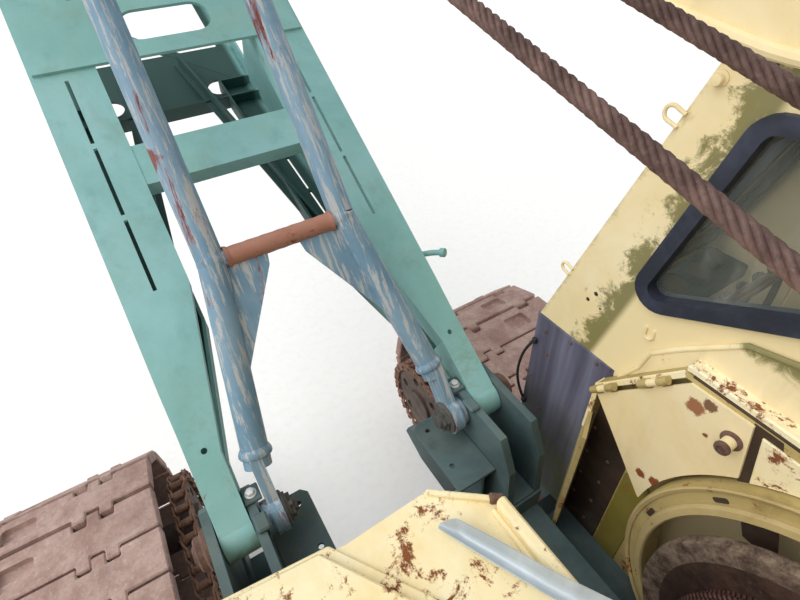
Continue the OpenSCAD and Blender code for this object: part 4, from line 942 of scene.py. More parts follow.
    @staticmethod
    def fit(piece: bpy.types.Object | Sequence[bpy.types.Object], name: str, body: Body | None, slot: Slot,
            finish: object, angle: float = 35) -> bpy.types.Object:
        """Names, paints and mounts a finished piece.

        Args:
            piece: The piece, or pieces that are joined.
            name: Its name.
            body: The body that it rides on, or none for a piece that is left unattached.
            slot: The record's slot; not used.
            finish: The finish.
            angle: Faces that meet under this angle are shaded smooth.

        Returns:
            The piece.
        """
        piece = piece if isinstance(piece, bpy.types.Object) else Bench.join(list(piece))
        Bench.pick(piece)
        bpy.ops.object.shade_smooth_by_angle(angle=math.radians(angle))
        piece.name = piece.data.name = name
        piece.data.materials.clear()
        piece.data.materials.append(Bench.material(finish))
        if body:
            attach(piece, body.value)
        LOG.info("%s: %d faces on %s", name, len(piece.data.polygons), body.value if body else "two bodies")
        return piece


@dataclass
class Track:
    """One crawler track: cast shoes with castle joints, and its drive chain."""

    side: Side
    gauge: float = 2.33
    tumbler_base: float = 3.56
    shoe_w: float = 0.8
    shoe_h: float = 0.055
    gap: float = 0.012
    shoes: int = 46
    chain_pitch: float = 0.0762
    chain_gauge: float = 1.4
    front_teeth: int = 22
    shaft_teeth: int = 12
    shaft_x: float = 0.15

    def __post_init__(self) -> None:
        """Takes the track's height from the frame and works out the loops of shoes and chain."""
        low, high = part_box("track_" + self.side.name.lower())
        self.axle_z = (high.z + low.z) / 2
        self.pitch_r = self.axle_z - self.shoe_h
        self.loop = 2 * self.tumbler_base + 2 * math.pi * self.pitch_r
        self.front_r, self.shaft_r = (self.chain_pitch / (2 * math.sin(math.pi / teeth))
                                      for teeth in (self.front_teeth, self.shaft_teeth))
        base = self.tumbler_base / 2 - self.shaft_x
        self.lean = math.asin((self.front_r - self.shaft_r) / base)
        self.run = base * math.cos(self.lean)
        self.wrap = self.front_r * (math.pi + 2 * self.lean)

    def on_loop(self, s: float) -> tuple[float, float]:
        """Place on the shoes' pin line.

        Args:
            s: Distance along the line from the top of the rear idler.

        Returns:
            Forward, and up from the axles.
        """
        base, r = self.tumbler_base, self.pitch_r
        wrap = math.pi * r
        if s < base:
            return s - base / 2, r
        if s < base + wrap:
            a = (s - base) / r
            return base / 2 + r * math.sin(a), r * math.cos(a)
        if s < 2 * base + wrap:
            return base / 2 - (s - base - wrap), -r
        a = math.pi + (s - 2 * base - wrap) / r
        return -base / 2 + r * math.sin(a), r * math.cos(a)

    def on_chain(self, s: float) -> tuple[float, float]:
        """Place on the drive chain's pitch line.

        Args:
            s: Distance from the top of the shaft's sprocket.

        Returns:
            Forward, and up from the axles.
        """
        front, shaft, lean, run, wrap = self.front_r, self.shaft_r, self.lean, self.run, self.wrap
        if s < run:
            return (self.shaft_x + s * math.cos(lean) - shaft * math.sin(lean),
                    s * math.sin(lean) + shaft * math.cos(lean))
        if s < run + wrap:
            a = (s - run) / front - lean
            return self.tumbler_base / 2 + front * math.sin(a), front * math.cos(a)
        if s < 2 * run + wrap:
            d = s - run - wrap
            return (self.tumbler_base / 2 - d * math.cos(lean) - front * math.sin(lean),
                    d * math.sin(lean) - front * math.cos(lean))
        a = math.pi + lean + (s - 2 * run - wrap) / shaft
        return self.shaft_x + shaft * math.sin(a), shaft * math.cos(a)

    def stations(self, line: Callable[[float], tuple[float, float]], length: float, count: int,
                 y: float) -> list[Matrix]:
        """Places of equal links round a closed line, each turned along its chord.

        Args:
            line: Gives forward and up at a distance along the line.
            length: Length of the line.
            count: Number of links.
            y: How far left they lie.

        Returns:
            Where each link goes.
        """
        step = length / count
        places = []
        for i in range(count):
            (ax, az), (bx, bz) = line(i * step), line((i + 1) * step % length)
            turn = Matrix.Rotation(math.atan2(az - bz, bx - ax), 4, "Y")
            places.append(Matrix.Translation(((ax + bx) / 2, y, (az + bz) / 2 + self.axle_z)) @ turn)
        return places

    def shoe(self) -> bpy.types.Object:
        """One shoe, its inner end at y = 0: castle joints on both edges and a worn pocket."""
        steps = [(0.0, 0.0), (0.16, 0.0), (0.16, -0.04), (0.215, -0.04), (0.215, 0.012), (0.27, 0.012),
                 (0.27, -0.04), (0.325, -0.04), (0.325, 0.0), (0.62, 0.0), (0.62, -0.032), (0.70, -0.032),
                 (0.70, 0.0), (self.shoe_w, 0.0)]
        half, top = self.loop / self.shoes / 2 - self.gap / 2, self.shoe_h
        outline = [(half + d, y) for y, d in steps] + [(d - half, y) for y, d in reversed(steps)]
        piece = Bench.level(outline, 0.0, top, 0.006)
        piece = Bench.cut(piece, Bench.block((-0.055, 0.47, top - 0.03), (0.045, 0.61, top + 0.05), 0.016, 2))
        bar = Bench.block((-0.05, 0.475, top - 0.032), (-0.01, 0.605, top - 0.018), 0.005)
        lug = Bench.block((-0.05, 0.33, -0.028), (0.05, 0.45, 0.004), 0.008)
        return Bench.join([piece, bar, lug])

    def lay_shoes(self) -> None:
        """Puts the shoes round the loop in place of the plain track."""
        name = self.side.name.lower()
        flip = Matrix.Diagonal((1, self.side.value, 1, 1))
        inner = self.gauge / 2 - self.shoe_w / 2
        places = [flip @ place for place in self.stations(self.on_loop, self.loop, self.shoes, inner)]
        shoes = Bench.join(Bench.copies(self.shoe(), places))
        Bench.shape(shoes, Bench.face_out)
        Bench.fit(shoes, f"track_shoes_{name}", Body.UNDERCARRIAGE, Slot.TRACK, TRACK)
        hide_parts(f"track_{name}")

    def link(self) -> bpy.types.Object:
        """One cranked link of the drive chain: two bent side bars, a roller and a pin."""
        half, t, h = self.chain_pitch / 2, 0.009, 0.023
        inner, outer, end = 0.023, 0.034, self.chain_pitch / 2 + 0.02
        parts = []
        for s in (1, -1):
            bar = [(-end, s * inner), (-0.012, s * inner), (0.012, s * outer), (end, s * outer),
                   (end, s * (outer + t)), (0.008, s * (outer + t)), (-0.016, s * (inner + t)),
                   (-end, s * (inner + t))]
            parts.append(Bench.level(bar, -h, 2 * h, 0.003))
        for reach, radius, sides in ((inner, 0.018, 12), (outer + 0.016, 0.009, 8)):
            parts.append(Bench.rod((-half, -reach, 0), (-half, reach, 0), radius, sides))
        return Bench.join(parts)

    def lay_chain(self) -> None:
        """Puts the cranked links round both sprockets in place of the plain bands."""
        name = self.side.name.lower()
        length = 2 * self.run + self.wrap + self.shaft_r * (math.pi - 2 * self.lean)
        links = round(length / self.chain_pitch)
        places = self.stations(self.on_chain, length, links, self.side.value * self.chain_gauge / 2)
        chain = Bench.fit(Bench.copies(self.link(), places), f"chain_links_{name}", Body.UNDERCARRIAGE,
                          Slot.CHAIN, CHAIN)
        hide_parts(f"drive_chain_{name}")

    def build(self) -> None:
        """Builds the shoes and the chain."""
        self.lay_shoes()
        self.lay_chain()


@dataclass
class HoistRopes:
    """The falls of wire rope from the gantry to the mast head, laid up from six strands."""

    radius: float = 0.0072
    lay: float = 0.056
    strands: int = 6
    mast_ys: tuple[float, ...] = (-0.07, 0.0, 0.07)
    gantry_ys: tuple[float, ...] = (-0.105, -0.035, 0.035, 0.105)
    socket_ys: tuple[float, ...] = (-0.035, 0.035)
    under_drops: tuple[float, ...] = (0.058, 0.112)
    sheave_r: float = 0.112
    socket_reach: float = 0.16

    def rope(self, start: Vector, end: Vector) -> bpy.types.Object:
        """A straight laid rope between two points.

        Args:
            start: Its first end.
            end: Its second end.

        Returns:
            The rope.
        """
        Bench.clear()
        length = (end - start).length
        turns = max(1, round(length / self.lay))
        bpy.ops.mesh.primitive_circle_add(vertices=self.strands * 4, fill_type="NOTHING")
        piece = bpy.context.active_object
        for vertex in piece.data.vertices:
            a = math.atan2(vertex.co.y, vertex.co.x)
            lobe = abs(math.cos(self.strands * a / 2)) ** 0.6
            r = self.radius * (0.7 + 0.3 * lobe)
            vertex.co = (r * math.cos(a), r * math.sin(a), 0)
        Bench.wind(piece, length / turns, turns, 10)

        def work() -> None:
            """Closes the rope's ends and turns its faces outwards."""
            bpy.ops.mesh.remove_doubles(threshold=0.00005)
            bpy.ops.mesh.select_all(action="SELECT")
            bpy.ops.mesh.fill_holes(sides=0)
            Bench.face_out()
        Bench.shape(piece, work)
        turn = (end - start).to_track_quat("Z", "Y").to_matrix().to_4x4()
        piece.data.transform(Matrix.Translation(start) @ turn)
        return piece

    def build(self) -> None:
        """Strings the falls between the two rows of sheaves."""
        low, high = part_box("mast_sheaves")
        mast = (low + high) / 2
        low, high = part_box("gantry_sheaves")
        gantry = (low + high) / 2
        along = Vector((mast.x - gantry.x, 0, mast.z - gantry.z)).normalized()
        over = Vector((-along.z, 0, along.x))
        falls = [(y, g, None) for y, g in zip(self.mast_ys, self.gantry_ys[:-1])]
        falls += list(zip(self.socket_ys, self.gantry_ys[::2], self.under_drops))
        for i, (mast_y, gantry_y, drop) in enumerate(falls):
            sheave, pin = Vector((gantry.x, gantry_y, gantry.z)), Vector((mast.x, mast_y, mast.z))
            start, end = sheave + over * self.sheave_r, pin + over * self.sheave_r
            if drop is not None:
                start, end = sheave - over * drop, pin - along * self.socket_reach
                self.socket(pin, (start - end).normalized(), i)
            rope = self.rope(start, end)
            Bench.fit(rope, f"hoist_rope_{i + 1}", None, Slot.ROPE, ROPE, 80)
            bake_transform(rope)

    def socket(self, pin: Vector, along: Vector, number: int) -> None:
        """A rope socket whose eye hangs on the mast head's pin between two sheaves.

        Args:
            pin: The pin's middle at this place.
            along: The way the rope leaves.
            number: The rope's number.
        """
        eye = Bench.turned([(0.035, -0.009), (0.06, -0.009), (0.063, -0.006), (0.063, 0.006), (0.06, 0.009),
                            (0.035, 0.009)], pin)
        up, front = Vector((-along.z, 0, along.x)), pin - Vector((0, 0.009, 0))
        corners = [front + along * d + up * h
                   for d, h in ((0.045, 0.035), (0.12, 0.022), (0.12, -0.022), (0.045, -0.035))]
        cheek = Bench.plate(corners, (0, 0.018, 0), 0.003)
        cone = Bench.turned([(0.008, 0.09), (0.012, 0.09), (0.013, 0.11), (0.0125, 0.17), (0.0115, 0.185),
                             (0.008, 0.185)], pin, along, 20)
        Bench.fit([eye, cheek, cone], f"rope_socket_{number}", Body.MAST, Slot.WORN, PIN)


@dataclass
class DrumRope:
    """Rope wound on the main drum between its flanges, and the worn rims of the flanges."""

    rope_r: float = 0.011
    wound_r: float = 0.335
    core_r: float = 0.19
    left: float = -0.203
    right: float = -0.508
    flange_r: float = 0.435

    def build(self) -> None:
        """Winds the rope as one helix in place on the barrel, and sets the rims."""
        x, _, z = joint("drum_spin")["pos_m"]
        thick, line_r = 2 * self.rope_r, self.wound_r - self.rope_r
        turns = int((self.left - self.right) / thick)
        Bench.clear()
        bpy.ops.mesh.primitive_circle_add(vertices=10, fill_type="NOTHING", radius=self.rope_r)
        piece = bpy.context.active_object
        piece.data.transform(Matrix.Rotation(math.pi / 2, 4, "X"))
        piece.data.transform(Matrix.Translation((line_r, 0, 0)))
        Bench.wind(piece, (self.left - self.right - thick) / turns, turns, 64)
        piece.data.transform(Matrix.Rotation(-math.pi / 2, 4, "X"))
        piece.data.transform(Matrix.Translation((x, self.right + self.rope_r, z)))
        Bench.shape(piece, lambda: (bpy.ops.mesh.fill_holes(sides=0), Bench.face_out()))
        near, far = self.right + 0.001, self.left - 0.001
        core = Bench.turned([(self.core_r, near), (line_r, near), (line_r, far), (self.core_r, far)],
                            (x, 0, z), steps=64)
        # The wound rope's darkest colour paints shade in the grooves between the strands.
        wound = WoundRope("wound_rope", from_srgb(96, 62, 56), from_srgb(128, 88, 80), from_srgb(40, 24, 22),
                          (x, z))
        Bench.fit([piece, core], "wound_rope", Body.DRUM, Slot.ROPE, wound, 60)
        r = self.flange_r
        for name, y in (("right", self.right - 0.027), ("left", self.left + 0.001)):
            rim = Bench.turned([(r - 0.022, y - 0.004), (r + 0.004, y - 0.004), (r + 0.007, y + 0.008),
                                (r + 0.004, y + 0.031), (r - 0.03, y + 0.031), (r - 0.05, y + 0.026),
                                (r - 0.05, y + 0.001)], (x, 0, z), steps=96)
            Bench.fit(rim, f"flange_rim_{name}", Body.DRUM, Slot.DRUM, RIM, 50)


class Parts:
    """Small fittings that several assemblies share."""

    @staticmethod
    def bolt(centre: Point, axis: Point, radius: float = 0.012, height: float = 0.010) -> bpy.types.Object:
        """A bolt's hexagon head on a washer.

        Args:
            centre: Where the washer meets the surface.
            axis: The way the head points.
            radius: Radius of the head over its corners.
            height: Height of the head.

        Returns:
            The piece.
        """
        centre, axis = Vector(centre), Vector(axis).normalized()
        washer = Bench.rod(centre, centre + axis * height * 0.3, radius * 1.35, 20, height * 0.1)
        head = Bench.rod(centre + axis * height * 0.25, centre + axis * height * 1.25, radius, 6, height * 0.12)
        return Bench.join([washer, head])

    @staticmethod
    def ring(centre: Point, axis: Point, radius: float, bar: float, steps: int = 32) -> bpy.types.Object:
        """A round ring, such as a lifting eye.

        Args:
            centre: Its middle.
            axis: Direction of its axis.
            radius: Radius at the middle of the bar.
            bar: Radius of the bar.
            steps: Steps of a full turn.

        Returns:
            The piece.
        """
        turns = [k * math.pi / 4 for k in range(8)]
        section = [(radius + bar * math.cos(a), bar * math.sin(a)) for a in turns]
        return Bench.turned(section, centre, axis, steps)

    @staticmethod
    def castle_nut(centre: Point, axis: Point, radius: float = 0.046) -> bpy.types.Object:
        """A castle nut with the end of its pin.

        Args:
            centre: Where the nut meets its seat.
            axis: The way the pin's end points.
            radius: Radius over the nut's corners.

        Returns:
            The piece.
        """
        centre, axis = Vector(centre), Vector(axis).normalized()
        base = Bench.rod(centre, centre + axis * 0.018, radius, 6, 0.002)
        side = axis.orthogonal().normalized()
        other = axis.cross(side)
        teeth = []
        for k in range(24):
            a = k * math.pi / 12
            r = radius * (0.84 if k % 4 < 2 else 0.62)
            teeth.append(centre + axis * 0.017 + (side * math.cos(a) + other * math.sin(a)) * r)
        crown = Bench.plate(teeth, axis * 0.013, 0.0015)
        pin = Bench.rod(centre + axis * 0.010, centre + axis * 0.042, radius * 0.55, 20, 0.004)
        return Bench.join([base, crown, pin])

    @staticmethod
    def eye(foot: Point, out: Point, up: Point, size: float = 0.034, bar: float = 0.0045) -> bpy.types.Object:
        """A bar bent to a U and welded on by both ends.

        Args:
            foot: Middle between its ends.
            out: The way it stands out.
            up: The way from one end to the other.
            size: How far it stands out.
            bar: Radius of the bar.

        Returns:
            The piece.
        """
        foot, out, up = Vector(foot), Vector(out).normalized(), Vector(up).normalized()
        half = [(0.42, -0.1), (0.42, 0.3), (0.46, 0.75), (0.2, 1.05)]
        shape = [(-h, d) for h, d in half] + half[::-1]
        return Bench.bent_bar([foot + up * h * size + out * d * size for h, d in shape], bar)


@dataclass
class FootFittings:
    """Bosses, nuts, lock plates and shelves round the feet of boom and mast."""

    pin: tuple[float, float] = (1.0, 1.55)
    lug_in: float = 0.356
    lug_out: float = 0.506
    lug_top: float = 1.6205
    mast_eye: float = 0.294
    shelf_z: float = 1.45
    deck_z: float = 1.29
    sheet: float = 0.012

    def lugs(self, side: Side) -> None:
        """Adds the fixed fittings of one side's lugs.

        Args:
            side: The side.
        """
        s, (px, pz), top = side.value, self.pin, self.lug_top
        name = side.name.lower()
        boss = Bench.turned([(0.012, 0), (0.062, 0), (0.062, 0.012), (0.05, 0.02), (0.05, 0.034), (0.044, 0.04),
                             (0.012, 0.04)], (px, s * self.lug_out, pz), (0, s, 0))
        cap_y = self.lug_out + 0.028
        cap = Bench.rod((px, s * cap_y, pz), (px, s * (cap_y + 0.02), pz), 0.03, 20, 0.004)
        Bench.fit([boss, cap], f"lug_boss_{name}", Body.UPPER, Slot.WORN, PIN)
        lock = Bench.block((px + 0.018, s * (self.lug_in - 0.022), top),
                           (px + 0.074, s * (self.lug_in + 0.028), top + self.sheet), 0.003)
        stop = Bench.block((px - 0.075, s * (self.lug_in - 0.016), top - 0.006),
                           (px - 0.02, s * (self.lug_in + 0.022), top + self.sheet), 0.005)
        rib = Bench.block((px - 0.2, s * self.lug_out - 0.006, 1.215),
                          (px - 0.188, s * self.lug_out + 0.006, 1.5))
        Bench.fit([lock, stop, rib], f"lock_plates_{name}", Body.UPPER, Slot.FRAME, FRAME)
        seat = (px + 0.046, s * (self.lug_in + 0.003), top + 0.0115)
        bolt = Parts.bolt(seat, (0, 0, 1), 0.013, 0.011)
        Bench.fit(bolt, f"lock_bolt_{name}", Body.UPPER, Slot.WORN, BRIGHT)

    def shelf(self, side: Side) -> None:
        """Adds the holed shelf inside one side's lugs, its web and the plate behind the lugs.

        Args:
            side: The side.
        """
        s, z, sheet = side.value, self.shelf_z - self.sheet, self.sheet
        name = side.name.lower()
        outline = [(0.80, 0.355), (1.06, 0.355), (1.09, 0.33), (1.09, 0.225), (1.07, 0.205), (0.80, 0.205)]
        top = Bench.level([(x, s * y) for x, y in outline], z, sheet)
        for x, y in ((1.045, 0.248), (0.887, 0.240)):
            top = Bench.cut(top, Bench.rod((x, s * y, z - 0.038), (x, s * y, z + 0.062), 0.0095, 20))
        lip = [(1.078, 0.225), (1.09, 0.225), (1.09, 0.33), (1.078, 0.33)]
        front = Bench.level([(x, s * y) for x, y in lip], z + 0.001, -0.06)
        web = Bench.block((0.80, s * 0.300, 1.195), (1.02, s * 0.312, z + 0.001), 0.003)
        foot_line = [(0.80, 0.31), (0.80, 0.36), (0.98, 0.36), (0.98, 0.31)]
        foot = Bench.level([(x, s * y) for x, y in foot_line], 1.199, sheet)
        Bench.fit([top, front, web, foot], f"foot_shelf_{name}", Body.UPPER, Slot.FRAME, FRAME)
        z = self.deck_z
        outline = [(0.722, 0.384), (0.90, 0.384), (0.93, 0.41), (0.93, 0.478), (0.722, 0.478)]
        rear = Bench.level([(x, s * y) for x, y in outline], z, sheet)
        hole = Bench.rod((0.852, s * 0.432, z - 0.05), (0.852, s * 0.432, z + 0.05), 0.033, 28)
        Bench.fit(Bench.cut(rear, hole), f"holed_plate_{name}", Body.UPPER, Slot.FRAME, FRAME)

    def mast_foot(self, side: Side) -> None:
        """Adds one mast foot's nut and seat.

        Args:
            side: The side.
        """
        s, (px, pz) = side.value, self.pin
        nut = Parts.castle_nut((px, s * (self.mast_eye + 0.0005), pz), (0, -s, 0))
        seat = Bench.turned([(0.03, 0), (0.056, 0), (0.056, 0.006), (0.05, 0.010), (0.03, 0.010)],
                            (px, s * self.mast_eye, pz), (0, -s, 0))
        Bench.fit([nut, seat], f"mast_nut_{side.name.lower()}", Body.MAST, Slot.WORN, NUT)

    def build(self) -> None:
        """Builds both sides and the pale strip on the floor plate."""
        for side in Side:
            self.lugs(side)
            self.shelf(side)
            self.mast_foot(side)
        strip = Bench.block((0.845, -0.325, 1.164), (0.925, -0.215, 1.176), 0.003)
        rim = Bench.block((0.845, -0.325, 1.17), (0.857, -0.215, 1.19), 0.003)
        Bench.fit([strip, rim], "pale_strip", Body.UPPER, Slot.FRAME, MAST)


@dataclass
class MastDetails:
    """Weld collars of the mast, the rust-brown sleeve of its cross tube and its head nuts."""

    foot: Vector = field(default_factory=lambda: Vector((1.0, 0, 1.55)))
    pitch: float = 52.0
    length: float = 2.4
    bend_s: float = 0.745
    head_y: float = 0.209
    foot_y: float = 0.310
    tube_r: float = 0.040
    cross_r: float = 0.026

    def at(self, s: float, y: float = 0.0) -> Vector:
        """A point on the mast, by its distance from the foot pin and its place across."""
        a = math.radians(self.pitch)
        return self.foot + Vector((s * math.cos(a), y, s * math.sin(a)))

    def build(self) -> None:
        """Builds the sleeve, the collars and the nuts."""
        half, r = self.head_y - self.tube_r - 0.001, self.cross_r
        profile = [(0.02, -half), (r + 0.008, -half), (r + 0.006, -half + 0.008)]
        for k in range(21):
            y = -half + 0.014 + k * (2 * half - 0.028) / 20
            profile.append((r + 0.0026 + 0.0007 * math.sin(k * 2.1), y))
        profile += [(r + 0.006, half - 0.008), (r + 0.008, half), (0.02, half)]
        sleeve = Bench.turned(profile, self.at(self.bend_s), (0, 1, 0), 28)
        Bench.fit(sleeve, "cross_tube_sleeve", Body.MAST, Slot.MAST, MAST_CROSS)
        for side in Side:
            s, name = side.value, side.name.lower()
            low, knee = self.at(0.15, s * self.foot_y), self.at(self.bend_s, s * self.head_y)
            along = (knee - low).normalized()
            collar = Bench.turned([(0.02, 0), (0.046, 0), (0.049, 0.006), (0.048, 0.016), (0.0425, 0.026),
                                   (0.02, 0.026)], low + along * 0.032, along)
            nut = Parts.castle_nut(self.at(self.length, s * (self.head_y + 0.059)), (0, s, 0), 0.05)
            Bench.fit(collar, f"mast_welds_{name}", Body.MAST, Slot.MAST, MAST)
            Bench.fit(nut, f"mast_head_nut_{name}", Body.MAST, Slot.WORN, PIN)


@dataclass
class BoomDetails:
    """Splice pins, corner plates, head pin nuts and the guide stub of the boom."""

    foot: Vector = field(default_factory=lambda: Vector((1.0, 0, 1.55)))
    pitch: float = 25.0
    splice: float = 5.0
    length: float = 9.85
    half_w: float = 0.48
    half_d: float = 0.45
    head_half_w: float = 0.21

    def at(self, u: float, y: float, v: float) -> Vector:
        """A point of the boom: along it, across it and square to it."""
        a = math.radians(self.pitch)
        return self.foot + Vector((u * math.cos(a) - v * math.sin(a), y, u * math.sin(a) + v * math.cos(a)))

    def splices(self) -> None:
        """Adds the pins and plates at the four corners of the splice."""
        pins, plates = [], []
        for s, t in ((1, 1), (1, -1), (-1, 1), (-1, -1)):
            v = t * (self.half_d - 0.045)
            for u in (self.splice - 0.045, self.splice + 0.045):
                start, end = self.at(u, s * (self.half_w - 0.092), v), self.at(u, s * (self.half_w + 0.016), v)
                pins.append(Bench.rod(start, end, 0.019, 20, 0.003))
                pins.append(Parts.bolt(self.at(u, s * self.half_w, v), (0, s, 0), 0.026, 0.012))
            corners = [self.at(self.splice + du, s * self.half_w, t * (self.half_d - dv))
                       for du, dv in ((-0.11, 0.012), (0.11, 0.012), (0.11, 0.078), (-0.11, 0.078))]
            plates.append(Bench.plate(corners, (0, s * 0.008, 0)))
        Bench.fit(pins, "splice_pins", Body.BOOM, Slot.WORN, PIN)
        Bench.fit(plates, "splice_plates", Body.BOOM, Slot.BOOM, BOOM)

    def build(self) -> None:
        """Builds the splice, the nuts and the stub."""
        self.splices()
        nuts = [Parts.castle_nut(self.at(self.length, s * (self.head_half_w + 0.039), 0), (0, s, 0), 0.06)
                for s in (1, -1)]
        Bench.fit(nuts, "head_pin_nuts", Body.BOOM, Slot.WORN, PIN)
        base = self.at(0.545, -0.462, 0.12)
        bends = [(0, 0, 0), (-0.01, -0.04, 0), (-0.03, -0.07, 0.005), (-0.05, -0.085, 0.01)]
        stub = Bench.bent_bar([base + Vector(bend) for bend in bends], 0.011)
        cap_from, cap_to = Vector((-0.045, -0.082, 0.009)), Vector((-0.062, -0.092, 0.013))
        cap = Bench.rod(base + cap_from, base + cap_to, 0.017, 16, 0.003)
        Bench.fit([stub, cap], "guide_stub", Body.BOOM, Slot.BOOM, BOOM)


@dataclass
class DeckTop:
    """Folded panels on the deck cover, its turned edges and the bent bare strip that lies on it."""

    top: float = 1.90
    rear: float = 0.205
    front_left: tuple[float, float] = (0.662, 0.008)
    front_right: tuple[float, float] = (0.560, -0.120)

    def panel(self) -> None:
        """The raised left panel with its stepped edge."""
        low = [(0.680, 0.590), (0.688, 0.470), (0.668, 0.246), (self.rear, -0.066), (self.rear, 0.590)]
        high = [(0.664, 0.590), (0.672, 0.472), (0.655, 0.268), (self.rear, -0.034), (self.rear, 0.590)]
        step = Bench.level(low, self.top - 0.001, 0.014, 0.003)
        lid = Bench.level(high, self.top + 0.012, 0.026, 0.006)
        Bench.fit([step, lid], "deck_panel", Body.UPPER, Slot.CREAM, CREAM_DECK)

    def edges(self) -> None:
        """The turned front lip, the boxed right edge and the torn corner."""
        z, low, rear = self.top, self.top - 0.001, self.rear
        (lx, ly), (rx, ry) = self.front_left, self.front_right
        out = Vector((rx - lx, ry - ly, 0)).normalized()
        back = Vector((out.y, -out.x, 0))
        back = back if back.x < 0 else -back
        start, end = Vector((lx, ly, z)), Vector((rx, ry, z))
        lip = Bench.plate([start, end, end + back * 0.013, start + back * 0.013], (0, 0, 0.016), 0.004)
        box = Bench.level([(rx - 0.004, ry - 0.002), (rear, -0.129), (rear, -0.092), (rx - 0.012, ry + 0.026)],
                          low, 0.034, 0.007)
        fold = Bench.level([(rx - 0.012, ry + 0.026), (rear, -0.092), (rear, -0.078), (rx - 0.012, ry + 0.036)],
                           low, 0.012, 0.003)
        tear = Bench.level([(0.575, -0.098), (0.556, -0.124), (0.548, -0.118), (0.553, -0.105),
                            (0.560, -0.092)], low, 0.03, 0.003)
        Bench.fit([lip, box, fold], "deck_edges", Body.UPPER, Slot.CREAM, CREAM_DECK)
        Bench.fit(tear, "torn_corner", Body.UPPER, Slot.CREAM, PIN)

    def strip(self) -> None:
        """The bent strip: a grid drawn out to a tongue whose right edge curls up."""
        rows, across = 24, 6
        left = [Vector(p) for p in ((0.574, 0.036, 1.917), (0.510, 0.008, 1.920), (0.448, -0.020, 1.924),
                                    (0.360, -0.060, 1.932), (0.262, -0.110, 1.942))]
        right = [Vector(p) for p in ((0.580, 0.028, 1.918), (0.560, -0.002, 1.922), (0.480, -0.042, 1.930),
                                     (0.370, -0.092, 1.942), (0.262, -0.152, 1.950))]

        def along(line: list[Vector], t: float) -> Vector:
            """A point on a line at share t of its points."""
            spot = t * (len(line) - 1)
            i = min(int(spot), len(line) - 2)
            return line[i].lerp(line[i + 1], spot - i)
        Bench.clear()
        bpy.ops.mesh.primitive_grid_add(x_subdivisions=rows, y_subdivisions=across, size=2)
        piece = bpy.context.active_object
        for vertex in piece.data.vertices:
            t, w = (vertex.co.x + 1) / 2, (vertex.co.y + 1) / 2
            curl = 0.018 * max(0.0, w - 0.72) / 0.28 * min(1.0, t * 6)
            sag = -0.010 * math.sin(math.pi * w) * min(1.0, t * 4)
            vertex.co = along(left, t).lerp(along(right, t), w) + Vector((0, 0, curl + sag))
        Bench.shape(piece, Bench.face_out)
        wall = piece.modifiers.new("sheet", "SOLIDIFY")
        wall.thickness = 0.003
        wall.offset = 0
        Bench.pick(piece)
        bpy.ops.object.modifier_apply(modifier=wall.name)
        Bench.fit(piece, "bent_strip", Body.UPPER, Slot.SHEET, STRIP, 60)

    def build(self) -> None:
        """Builds the panel, the edges and the strip."""
        self.panel()
        self.edges()
        self.strip()


